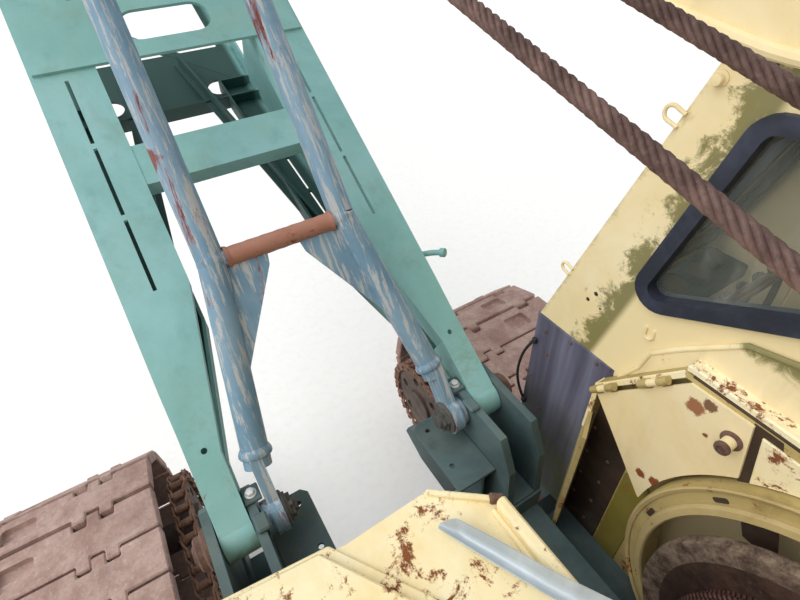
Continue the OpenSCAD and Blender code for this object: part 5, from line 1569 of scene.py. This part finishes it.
@dataclass
class GuardDetails:
    """Ring steps, flashing, cap strip, dark plates of painted shade on the tray's back, and knob of the guard
    beside the drum's end.
    """

    centre: tuple[float, float] = (-0.095, 1.512)
    floor: float = 1.0905
    face: float = -0.571
    ring_in: float = 0.480
    ring_out: float = 0.550
    inner_back: float = -0.633
    plane: float = -0.600
    rear: float = -0.62
    panel_foot: float = 1.092
    rivet_pitch: float = 0.125

    def ring(self) -> None:
        """The stepped face of the ring, and its slots as dark plates of painted shade."""
        (x, z), y, inner, outer = self.centre, self.face, self.ring_in, self.ring_out
        rim = [(outer - 0.016, y), (outer - 0.004, y), (outer - 0.003, y + 0.006), (outer - 0.007, y + 0.009),
               (outer - 0.016, y + 0.005)]
        step = [(inner, y), (inner + 0.026, y), (inner + 0.026, y + 0.012), (inner + 0.020, y + 0.020),
                (inner + 0.004, y + 0.022), (inner, y + 0.018)]
        rings = [Bench.turned(profile, (x, 0, z), (0, 1, 0), 96) for profile in (rim, step)]
        for piece in rings:
            Bench.cut(piece, Bench.block((x - 0.7, y - 0.05, 0.8), (x + 0.7, y + 0.1, self.floor), 0.001))
        Bench.fit(rings, "guard_ring_steps", Body.UPPER, Slot.CREAM, GUARD_RING)
        slots = []
        outline = [(-0.020, -0.004), (-0.016, -0.007), (0.016, -0.007), (0.020, -0.004), (0.020, 0.004),
                   (0.016, 0.007), (-0.016, 0.007), (-0.020, 0.004)]
        for turn, reach in ((8, 0.515), (38, 0.513), (64, 0.513)):
            a = math.radians(turn)
            mid = Vector((x + reach * math.cos(a), y, z + reach * math.sin(a)))
            tangent, radial = Vector((-math.sin(a), 0, math.cos(a))), Vector((math.cos(a), 0, math.sin(a)))
            corners = [mid + tangent * p + radial * q for p, q in outline]
            slots.append(Bench.plate(corners, (0, 0.0022, 0), 0.0006))
        # The slots are flat dark plates: painted shade in the holes.
        Bench.fit(slots, "ring_slots_painted_shade", Body.UPPER, Slot.CREAM, GREASE_AND_SHADE)

    def sheets(self) -> None:
        """The flashing up to the cab, the cap strip, the rear cover plate and its dark joint."""
        y, rear = self.plane, self.rear
        fold = [(0.668, 1.862), (0.628, 1.940), (0.614, 2.006), (0.548, 2.079), (0.440, 2.184), (0.352, 2.206)]
        flashing = Bench.upright(fold + [(-0.55, 2.206), (-0.55, 2.062), (0.506, 2.062)], -0.6485, 0.008)
        roll = Bench.bent_bar([(x, -0.643, z) for x, z in fold + [(-0.55, 2.206)]], 0.007, False)
        Bench.fit([flashing, roll], "guard_flashing", Body.UPPER, Slot.CREAM, CREAM_MOSS)
        cap = Bench.level([(0.500, -0.647), (0.512, y - 0.002), (rear, y - 0.002), (rear, -0.647)],
                          2.074, 0.010, 0.004)
        lip = Bench.block((rear, y - 0.012, 2.068), (0.508, y - 0.001, 2.088), 0.004)
        end = Bench.block((0.498, -0.645, 2.066), (0.510, y - 0.003, 2.082), 0.003)
        Bench.fit([cap, lip, end], "guard_cap", Body.UPPER, Slot.CREAM, CREAM_DECK)
        y -= 0.0005
        gap = Bench.upright([(0.348, 2.060), (0.318, 1.897), (0.240, 1.74), (0.16, 1.74), (0.29, 2.060)],
                            y, 0.0015, 0)
        gap_top = Bench.block((rear, self.plane - 0.010, 2.050), (0.49, y, 2.0685), 0.001)
        Bench.fit([gap, gap_top], "dark_joint", Body.UPPER, Slot.CREAM, GREASE_AND_SHADE)
        outline = [(0.322, 2.042), (0.292, 1.905), (0.225, 1.765), (-0.60, 1.765), (-0.60, 2.042)]
        cover, (x, z) = Bench.upright(outline, y, 0.007), self.centre
        ring = Bench.rod((x, self.plane - 0.05, z), (x, self.plane + 0.05, z), self.ring_out + 0.004, 96)
        Bench.fit(Bench.cut(cover, ring), "rear_cover_plate", Body.UPPER, Slot.CREAM, CREAM_DECK)

    def tray_back_with_painted_shade(self) -> None:
        """The pale front edge, the dark greasy plates behind it that paint the deep shade of the tray's back,
        the olive plate and the rivets.
        """
        y, back, foot = self.plane, self.inner_back, self.panel_foot
        edge = Bench.upright([(0.6885, 1.62), (0.7055, 1.62), (0.7045, 1.822), (0.512, 2.066), (0.500, 2.052),
                              (0.6885, 1.816)], y - 0.006, 0.0065)
        side = Bench.block((0.7005, -0.644, 1.62), (0.7085, y - 0.004, 1.820), 0.003)
        Bench.fit([edge, side], "guard_front_edge", Body.UPPER, Slot.CREAM, CREAM_DECK)
        outline = [(0.686, foot), (0.686, 1.80), (0.64, 1.80), (0.545, 1.56), (0.545, foot)]
        # Dark plates on the tray's back and beside it: painted shade, with some grease.
        shade_plate = Bench.upright(outline, back, 0.003, 0)
        panel = Bench.plate([(0.6865, -0.6085, foot), (0.6300, -0.5190, foot), (0.6300, -0.5190, 1.695),
                             (0.6865, -0.6085, 1.700)], (-0.002, -0.0013, 0), 0)
        Bench.fit([shade_plate, panel], "guard_painted_shade_plates", Body.UPPER, Slot.CREAM, GREASE_AND_SHADE)
        outline = [(0.540, foot), (0.540, 1.548), (0.500, 1.585), (0.455, 1.56), (0.455, foot)]
        olive = Bench.upright(outline, back, 0.004, 0.001)
        Bench.fit(olive, "olive_plate", Body.UPPER, Slot.CREAM, OLIVE)
        rivets = []
        for k in range(5):
            fall = self.rivet_pitch * k
            for x, z in ((0.6780 - 0.002 * k, 1.74 - fall), (0.600, 1.65 - fall)):
                rivets.append(Bench.rod((x, back, z), (x, back + 0.007, z), 0.006, 12, 0.002))
        Bench.fit(rivets, "guard_rivets", Body.UPPER, Slot.WORN, PIN)

    def knob(self) -> None:
        """The bolt head and ring on the lid's knob."""
        base = Vector((0.362, self.plane + 0.0075, 1.985))
        top = base + Vector((0, 0.031, 0))
        ring = Bench.turned([(0.014, 0), (0.024, 0), (0.024, 0.004), (0.019, 0.007), (0.014, 0.007)], base)
        cap = Bench.turned([(0.0, 0), (0.0165, 0), (0.0175, 0.003), (0.0165, 0.008), (0.009, 0.010),
                            (0.008, 0.006), (0.0, 0.006)], top)
        Bench.fit([ring, cap], "lid_knob_cap", Body.LID, Slot.WORN, PIN)

    def build(self) -> None:
        """Builds the ring, the sheets, the tray's back with its plates of painted shade, and the knob."""
        self.ring()
        self.sheets()
        self.tray_back_with_painted_shade()
        self.knob()


@dataclass
class CabDetails:
    """Eyes, knob and holes on the cab's wall, the roof's rolled edge and visor, and what shows inside."""

    wall: float = -0.650
    waist: float = 1.860
    front: float = 0.985
    lean: float = 19.3
    outer: float = -1.450
    rear: float = -0.60
    visor_x: float = 0.86

    def on_front(self, height: float, y: float, out: float = 0.0) -> Vector:
        """A point on the leaning front: up its slope, across it and out of it."""
        a = math.radians(self.lean)
        return Vector((self.front - height * math.sin(a) + out * math.cos(a), y,
                       self.waist + height * math.cos(a) + out * math.sin(a)))

    def frame_bar(self, y0: float, y1: float, low: float, high: float, out: float,
                  depth: float) -> bpy.types.Object:
        """A flat bar on the leaning front.

        Args:
            y0: Its first side.
            y1: Its second side.
            low: Its lower edge, up the slope.
            high: Its upper edge.
            out: Its face's distance out of the front.
            depth: Its thickness along the same line.

        Returns:
            The piece.
        """
        corners = [self.on_front(h, y, out) for y, h in ((y0, low), (y1, low), (y1, high), (y0, high))]
        return Bench.plate(corners, self.on_front(0, 0, depth) - self.on_front(0, 0), 0.003)

    def fittings(self) -> None:
        """The eyes, knob, open screw holes as dark discs of painted shade, screws and seam of the wall, and the
        conduit beside it.
        """
        y = self.wall
        a = math.radians(self.lean)
        up, ahead = Vector((-math.sin(a), 0, math.cos(a))), Vector((math.cos(a), 0, math.sin(a)))
        eyes = [Parts.eye((0.738, y + 0.003, 2.560), ahead, up, 0.036),
                Parts.eye((0.908, y + 0.003, 2.078), ahead, up, 0.030),
                Parts.eye((0.640, y + 0.003, 2.064), Vector((-0.1, 0, -1)), Vector((1, 0, -0.1)), 0.026)]
        Bench.fit(eyes, "cab_eyes", Body.UPPER, Slot.CREAM, CREAM)
        knob = Bench.turned([(0.0, 0), (0.015, 0), (0.015, 0.003), (0.009, 0.005), (0.009, 0.009),
                             (0.012, 0.012), (0.010, 0.017), (0.0, 0.019)], (0.691, y, 2.648))
        Bench.fit(knob, "cab_knob", Body.UPPER, Slot.CREAM, CREAM)
        # Open holes drawn as flat dark discs: painted shade.
        holes = [(0.832, 2.027, 0.006), (0.812, 2.060, 0.0065), (0.788, 2.023, 0.0035), (0.560, 2.720, 0.004),
                 (0.610, 2.690, 0.003)]
        Bench.fit([Bench.rod((x, y - 0.004, z), (x, y + 0.0008, z), r, 14, 0.0003) for x, z, r in holes],
                  "screw_holes_painted_shade", Body.UPPER, Slot.SEAL, GREASE_AND_SHADE)
        screws = [(0.926, 1.713), (0.909, 1.435), (0.907, 1.348), (0.945, 1.249), (0.908, 1.140),
                  (0.748, 1.835), (0.850, 1.835), (0.950, 1.800), (0.980, 1.560), (0.715, 1.60), (0.715, 1.30)]
        Bench.fit([Bench.rod((x, y - 0.0005, z), (x, y + 0.0045, z), 0.0065, 12, 0.002) for x, z in screws],
                  "sheet_screws", Body.UPPER, Slot.WORN, PIN)
        seam = Bench.upright([(0.70, 1.842), (0.988, 1.842), (0.988, 1.858), (0.70, 1.858)],
                             y - 0.0002, 0.003, 0.001)
        Bench.fit(seam, "sheet_seam", Body.UPPER, Slot.SHEET, SHEET)
        route = [(0.985, 0.006, 1.735), (1.004, 0.022, 1.690), (1.014, 0.030, 1.610), (1.020, 0.022, 1.530),
                 (1.006, 0.010, 1.455), (0.985, 0.004, 1.415)]
        loop = Bench.bent_bar([(x, y + out, z) for x, out, z in route], 0.005)
        clips = [Bench.block((0.974, y - 0.001, z - 0.012), (0.992, y + 0.012, z + 0.012), 0.003)
                 for z in (1.735, 1.415)]
        Bench.fit([loop] + clips, "sheet_conduit", Body.UPPER, Slot.SEAL, HOSE)

    def roof_edge(self) -> None:
        """The rolled edge under the roof beside the boom, and the visor ahead of it."""
        y, far_y, front, rear = self.wall, self.outer, self.visor_x, self.rear
        outline = [(front, 2.752), (0.576, 2.703), (rear, 2.700), (rear, 2.868), (0.67, 2.868), (front, 2.838)]
        side = Bench.upright(outline, y - 0.002, 0.020, 0.005)
        under = [(front, 2.752), (0.700, 2.722), (0.576, 2.703), (0.0, 2.701), (rear, 2.700)]
        roll = Bench.bent_bar([(x, y + 0.020, z) for x, z in under], 0.013)
        corners = [(0.64, y, 2.858), (front, y, 2.828), (front, far_y, 2.828), (0.64, far_y, 2.858)]
        top = Bench.plate(corners, (0, 0, 0.010), 0.003)
        lip = Bench.block((0.848, far_y, 2.752), (front, y, 2.832), 0.004)
        far = Bench.upright([(front, 2.752), (0.66, 2.79), (0.66, 2.864), (front, 2.838)], far_y, -0.010, 0.003)
        Bench.fit([side, roll, top, lip, far], "roof_edge", Body.UPPER, Slot.CREAM, CREAM)

    def inside(self) -> None:
        """Dark frames of the far windows, gauges, a board and a rail, as seen through the glass."""
        bars = ((-0.735, -0.695, 0.10, 0.98), (-1.405, -1.365, 0.10, 0.98), (-1.405, -0.695, 0.06, 0.11),
                (-1.405, -0.695, 0.955, 1.00))
        strips = [self.frame_bar(*bar, -0.052, -0.022) for bar in bars]
        strips.append(self.frame_bar(-0.74, -1.37, 0.62, 0.655, -0.055, -0.02))
        strips.append(Bench.block((-0.55, -1.409, 2.05), (0.66, -1.386, 2.10), 0.004))
        Bench.fit(strips, "cab_inner_frames", Body.UPPER, Slot.BLACK, DARK_FRAME)
        dash = Bench.block((0.72, -1.30, 1.880), (0.86, -0.78, 1.935), 0.012, 2)
        stand = Bench.block((0.76, -1.10, 1.40), (0.84, -0.96, 1.89), 0.010)
        Bench.fit([dash, stand], "gauge_stand", Body.UPPER, Slot.BLACK, BLACK)
        dials, faces = [], []
        for x, y, r in ((0.79, -0.86, 0.042), (0.78, -0.97, 0.05), (0.79, -1.09, 0.042), (0.80, -1.20, 0.036)):
            cup = [(0.0, 0), (r, 0), (r, 0.040), (r - 0.003, 0.046), (r - 0.008, 0.046), (r - 0.008, 0.041),
                   (0.0, 0.041)]
            face = [(0.0, 0.0405), (r - 0.009, 0.0405), (r - 0.009, 0.0425), (0.0, 0.0425)]
            for profile, made in ((cup, dials), (face, faces)):
                made.append(Bench.turned(profile, (x, y, 1.930), (-0.35, 0, 1), 28))
        Bench.fit(dials, "gauges", Body.UPPER, Slot.BLACK, BLACK)
        Bench.fit(faces, "gauge_faces", Body.UPPER, Slot.BLACK, DARK_FRAME)
        board = Bench.block((0.60, -1.18, 1.995), (0.635, -0.74, 2.015), 0.004)
        Bench.fit(board, "wooden_board", Body.UPPER, Slot.BLACK, WOOD)
        route = [(0.60, -0.80, 1.75), (0.595, -0.80, 2.02), (0.60, -0.86, 2.06), (0.60, -1.12, 2.06),
                 (0.595, -1.20, 2.0), (0.60, -1.20, 1.75)]
        Bench.fit(Bench.bent_bar(route, 0.010), "lever_rail", Body.UPPER, Slot.BLACK, PIN)

    def outside(self) -> None:
        """The grab rail, step, lamp and wiper of the cab's other sides."""
        y = self.outer
        route = [(0.01, 1.55), (-0.055, 1.57), (-0.055, 2.0), (0.01, 2.02)]
        grab = Bench.bent_bar([(0.72, y + out, z) for out, z in route], 0.012)
        Bench.fit(grab, "cab_grab_rail", Body.UPPER, Slot.CREAM, BLACK)
        step = Bench.block((0.08, y - 0.10, 1.03), (0.56, y + 0.01, 1.052), 0.005)
        Bench.fit(step, "cab_step", Body.UPPER, Slot.FRAME, FRAME)
        lamp = Bench.turned([(0.0, 0), (0.035, 0), (0.070, 0.045), (0.075, 0.070), (0.068, 0.074),
                             (0.062, 0.066), (0.0, 0.062)], (self.front + 0.01, -1.05, 1.33), (1, 0, 0), 28)
        Bench.fit(lamp, "cab_lamp", Body.UPPER, Slot.BLACK, BRIGHT)
        wiper = Bench.bent_bar([self.on_front(0.98, -1.05, 0.03), self.on_front(0.75, -1.0, 0.035),
                                self.on_front(0.45, -0.93, 0.032)], 0.005)
        Bench.fit(wiper, "cab_wiper", Body.UPPER, Slot.BLACK, BLACK)

    def build(self) -> None:
        """Builds the cab's details."""
        self.fittings()
        self.roof_edge()
        self.inside()
        self.outside()


@dataclass
class HouseDetails:
    """Seams, vents, rails and handles of the machinery house, and bolts of the counterweight."""

    rear: float = -2.9
    half_w: float = 1.45
    inner: float = 0.25
    roof: float = 2.35
    floor: float = 1.09
    tail: float = 3.27
    left_front: float = 0.2
    right_front: float = -0.7
    rail_h: float = 0.28
    rail_front: float = -0.44

    def roof_seams(self, side: Side) -> None:
        """Raised seams, a hatch with handles and lifting eyes on one roof.

        Args:
            side: The side.
        """
        s, w, z, rear = side.value, self.half_w, self.roof, self.rear
        front, count = (self.left_front, 5) if side is Side.LEFT else (self.right_front, 4)
        name = side.name.lower()
        seams = []
        for k in range(1, count):
            x = rear + k * (front - rear) / count
            seams.append(Bench.block((x - 0.014, s * (self.inner + 0.02), z - 0.002),
                                     (x + 0.014, s * (w - 0.02), z + 0.018), 0.005))
            if not rear + 0.5 < x < -1.2:
                seams.append(Bench.block((x - 0.02, s * (w - 0.001), self.floor + 0.02),
                                         (x + 0.02, s * (w + 0.007), z - 0.02), 0.003))
        seams.append(Bench.block((rear - 0.008, s * (w - 0.03), z - 0.03),
                                 (front + 0.006, s * (w + 0.010), z + 0.008), 0.006, 2))
        Bench.fit(seams, f"house_seams_{name}", Body.UPPER, Slot.CREAM, CREAM)
        hatch = Bench.block((-2.75, s * 0.55, z - 0.002), (-2.2, s * 1.10, z + 0.035), 0.012, 2)
        grips = [Bench.bent_bar([(x, s * y, z + h) for x, h in ((-2.6, 0.03), (-2.6, 0.07), (-2.42, 0.07),
                                                                (-2.42, 0.03))], 0.008) for y in (0.64, 1.01)]
        Bench.fit([hatch] + grips, f"roof_hatch_{name}", Body.UPPER, Slot.CREAM, CREAM)
        eyes = [Parts.ring((x, s * y, z + 0.028), (0, 1, 0), 0.03, 0.009, 20)
                for x in (rear + 0.15, front - 0.15) for y in (self.inner + 0.2, w - 0.2)]
        Bench.fit(eyes, f"roof_eyes_{name}", Body.UPPER, Slot.CREAM, CREAM)

    def rail(self) -> None:
        """A low rail along the left roof's outer edge."""
        y, z, rear, front, h = self.half_w - 0.05, self.roof, self.rear + 0.1, self.rail_front, self.rail_h
        route = [(rear, -0.01), (rear, h - 0.06), (rear + 0.06, h), (front - 0.06, h), (front, h - 0.06),
                 (front, -0.01)]
        foot = [(0.0, 0), (0.032, 0), (0.032, 0.008), (0.018, 0.012), (0.0, 0.012)]
        bars = [Bench.bent_bar([(x, y, z + up) for x, up in route], 0.014)]
        bars += [Bench.rod((x, y, z - 0.01), (x, y, z + 0.272), 0.011, 12, 0.002) for x in (-2.1, -1.3)]
        bars += [Bench.turned(foot, (x, y, z), (0, 0, 1), 20) for x in (rear, -2.1, -1.3, front)]
        Bench.fit(bars, "roof_rail", Body.UPPER, Slot.CREAM, CREAM)

    def vents(self) -> None:
        """Louvres on the rear walls and the left front wall."""
        x, blades = self.rear, []
        for s in (1, -1):
            low = min(s * 0.45, s * 1.25)
            for z in (1.92 + 0.05 * k for k in range(7)):
                blades.append(Bench.plate([(x + 0.002, low, z), (x + 0.002, low, z + 0.03),
                                           (x - 0.022, low, z + 0.006)], (0, 0.8, 0), 0.001))
        Bench.fit(blades, "rear_louvres", Body.UPPER, Slot.CREAM, CREAM)
        blades = [Bench.upright([(0.198, z), (0.198, z + 0.035), (0.220, z + 0.006)], 0.95, 0.4, 0.001)
                  for z in (1.25 + 0.06 * k for k in range(6))]
        Bench.fit(blades, "front_louvres", Body.UPPER, Slot.CREAM, CREAM)

    def handles(self) -> None:
        """A bent handle and two frame strips on each house door."""
        for side, body in ((Side.LEFT, Body.DOOR_LEFT), (Side.RIGHT, Body.DOOR_RIGHT)):
            s, w, x = side.value, self.half_w, -2.23
            route = [(0, 1.55), (0.045, 1.56), (0.045, 1.66), (0, 1.67)]
            bar = Bench.bent_bar([(x, s * (w + out), z) for out, z in route], 0.008)
            strips = [Bench.block((-2.27, s * (w - 0.001), z), (-1.325, s * (w + 0.006), z + 0.02), 0.002)
                      for z in (1.185, 2.195)]
            Bench.fit([bar] + strips, f"door_handle_{side.name.lower()}", body, Slot.CREAM, CREAM)

    def weight(self) -> None:
        """Two rows of bolts on the counterweight's rear."""
        bolts = []
        for turn in (-18, -9, 9, 18):
            c, s = math.cos(math.radians(180 + turn)), math.sin(math.radians(180 + turn))
            bolts += [Parts.bolt((self.tail * c, self.tail * s, z), (c, s, 0), 0.034, 0.022)
                      for z in (1.15, 1.72)]
        Bench.fit(bolts, "counterweight_bolts", Body.UPPER, Slot.WORN, PIN)

    def build(self) -> None:
        """Builds the house's details."""
        for side in Side:
            self.roof_seams(side)
        self.rail()
        self.vents()
        self.handles()
        self.weight()


@dataclass
class TrackFittings:
    """Axle caps with their bolts, and ribs on the side frames."""

    gauge: float = 2.33
    base: float = 3.56
    axle_z: float = 0.46
    beam_half: float = 0.18
    shaft_end: float = 0.21
    bolt_circle: float = 0.055

    def build(self) -> None:
        """Builds both sides."""
        cap = [(0.0, 0), (0.085, 0), (0.085, 0.014), (0.070, 0.024), (0.0, 0.026)]
        turns = [k * math.pi / 3 for k in range(6)]
        for side in Side:
            s, name = side.value, side.name.lower()
            y, r = s * (self.gauge / 2 + self.shaft_end), self.bolt_circle
            ends = (self.base / 2, -self.base / 2)
            caps = [Bench.turned(cap, (x, y - s * 0.001, self.axle_z), (0, s, 0)) for x in ends]
            bolts = [Parts.bolt((x + r * math.cos(a), y + s * 0.018, self.axle_z + r * math.sin(a)), (0, s, 0),
                                0.010, 0.008) for x in ends for a in turns]
            Bench.fit(caps, f"axle_caps_{name}", Body.UNDERCARRIAGE, Slot.WORN, WORN)
            Bench.fit(bolts, f"axle_bolts_{name}", Body.UNDERCARRIAGE, Slot.WORN, PIN)
            outer = s * (self.gauge / 2 + self.beam_half)
            ribs = [Bench.block((x - 0.012, outer - s * 0.061, 0.345),
                                (x + 0.012, outer - s * 0.050, 0.605), 0.003)
                    for x in (-0.9, -0.45, 0.0, 0.45, 0.9)]
            Bench.fit(ribs, f"beam_ribs_{name}", Body.UNDERCARRIAGE, Slot.FRAME, FRAME)


@dataclass
class Yard:
    """Camera at the photograph's viewpoint, soft light and a pale floor."""

    eye: Vector = field(default_factory=lambda: Vector((0.20, 0.30, 2.95)))
    image_right: Vector = field(default_factory=lambda: Vector((-0.5194, -0.8532, -0.0469)))
    image_down: Vector = field(default_factory=lambda: Vector((-0.5436, 0.3722, -0.7523)))
    lens: float = 22.05
    sensor: float = 36
    near: float = 0.02
    far: float = 200
    floor_size: float = 60.0
    floor_glow: float = 0.15
    sky: float = 0.66
    sun: float = 2.05
    sun_spread: float = 60
    sun_from: Vector = field(default_factory=lambda: Vector((0.12, 0.66, 0.74)))

    def camera(self) -> None:
        """Sets the camera."""
        data = bpy.data.cameras.new("yard_camera")
        data.lens = self.lens
        data.sensor_width = self.sensor
        data.clip_start = self.near
        data.clip_end = self.far
        camera = bpy.data.objects.new("yard_camera", data)
        x = self.image_right.normalized()
        z = x.cross(-self.image_down).normalized()
        y = z.cross(x)
        camera.matrix_world = Matrix.Translation(self.eye) @ Matrix((x, y, z)).transposed().to_4x4()
        bpy.context.scene.collection.objects.link(camera)
        bpy.context.scene.camera = camera

    def floor(self) -> None:
        """Lays the pale floor under the tracks."""
        Bench.clear()
        bpy.ops.mesh.primitive_plane_add(size=self.floor_size, location=(0, 0, -0.001))
        plane = bpy.context.active_object
        plane.name = "yard_floor"
        Bench.settle(plane)
        n = Nodes("pale_floor")
        speck = n.step(n.noise(18, 8, 0.7), 0.3, 0.7)
        n.surface(n.mix(speck, from_srgb(232, 231, 228), from_srgb(242, 241, 238)), 0.9)
        rays = n.add("LightPath")
        seen = n.math("MAXIMUM", rays.outputs["Is Camera Ray"], rays.outputs["Is Glossy Ray"])
        seen = n.math("MAXIMUM", seen, rays.outputs["Is Transmission Ray"])
        n.shader.inputs["Emission Color"].default_value = (1, 1, 1, 1)
        n.feed(n.shader.inputs["Emission Strength"], n.math("MULTIPLY", seen, self.floor_glow))
        plane.data.materials.append(n.material)

    def light(self) -> None:
        """Lights the yard as under a bright overcast sky."""
        bpy.context.scene.view_settings.view_transform = "Standard"
        world = bpy.data.worlds.new("overcast")
        bpy.context.scene.world = world
        world.use_nodes = True
        tree = world.node_tree
        back = tree.nodes["Background"]
        back.inputs["Color"].default_value = (0.97, 0.985, 1.0, 1)
        back.inputs["Strength"].default_value = self.sky
        white = tree.nodes.new("ShaderNodeBackground")
        white.inputs["Color"].default_value = (1, 1, 1, 1)
        rays, mix = tree.nodes.new("ShaderNodeLightPath"), tree.nodes.new("ShaderNodeMixShader")
        tree.links.new(rays.outputs["Is Camera Ray"], mix.inputs["Fac"])
        tree.links.new(back.outputs["Background"], mix.inputs[1])
        tree.links.new(white.outputs["Background"], mix.inputs[2])
        tree.links.new(mix.outputs["Shader"], tree.nodes["World Output"].inputs["Surface"])
        sun = bpy.data.lights.new("soft_sky", "SUN")
        sun.energy = self.sun
        sun.angle = math.radians(self.sun_spread)
        lamp = bpy.data.objects.new("soft_sky", sun)
        lamp.rotation_euler = self.sun_from.to_track_quat("Z", "Y").to_euler()
        bpy.context.scene.collection.objects.link(lamp)

    def build(self) -> None:
        """Builds camera, floor and light."""
        self.camera()
        self.floor()
        self.light()


def dress_nodes() -> None:
    """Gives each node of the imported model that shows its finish."""
    for name, finish in NODE_FINISH.items():
        node = frame["nodes"][name]
        node.data.materials.clear()
        node.data.materials.append(Bench.material(finish))
        LOG.info("%s: %s", name, finish.name)


def main() -> None:
    """Builds the scene in order."""
    logging.basicConfig(level=logging.INFO, format="%(message)s")
    Yard().build()
    dress_nodes()
    for side in Side:
        Track(side).build()
    for assembly in (TrackFittings(), HoistRopes(), DrumRope(), FootFittings(), MastDetails(), BoomDetails(),
                     DeckTop(), GuardDetails(), CabDetails(), HouseDetails()):
        assembly.build()


if __name__ == "__main__":
    main()
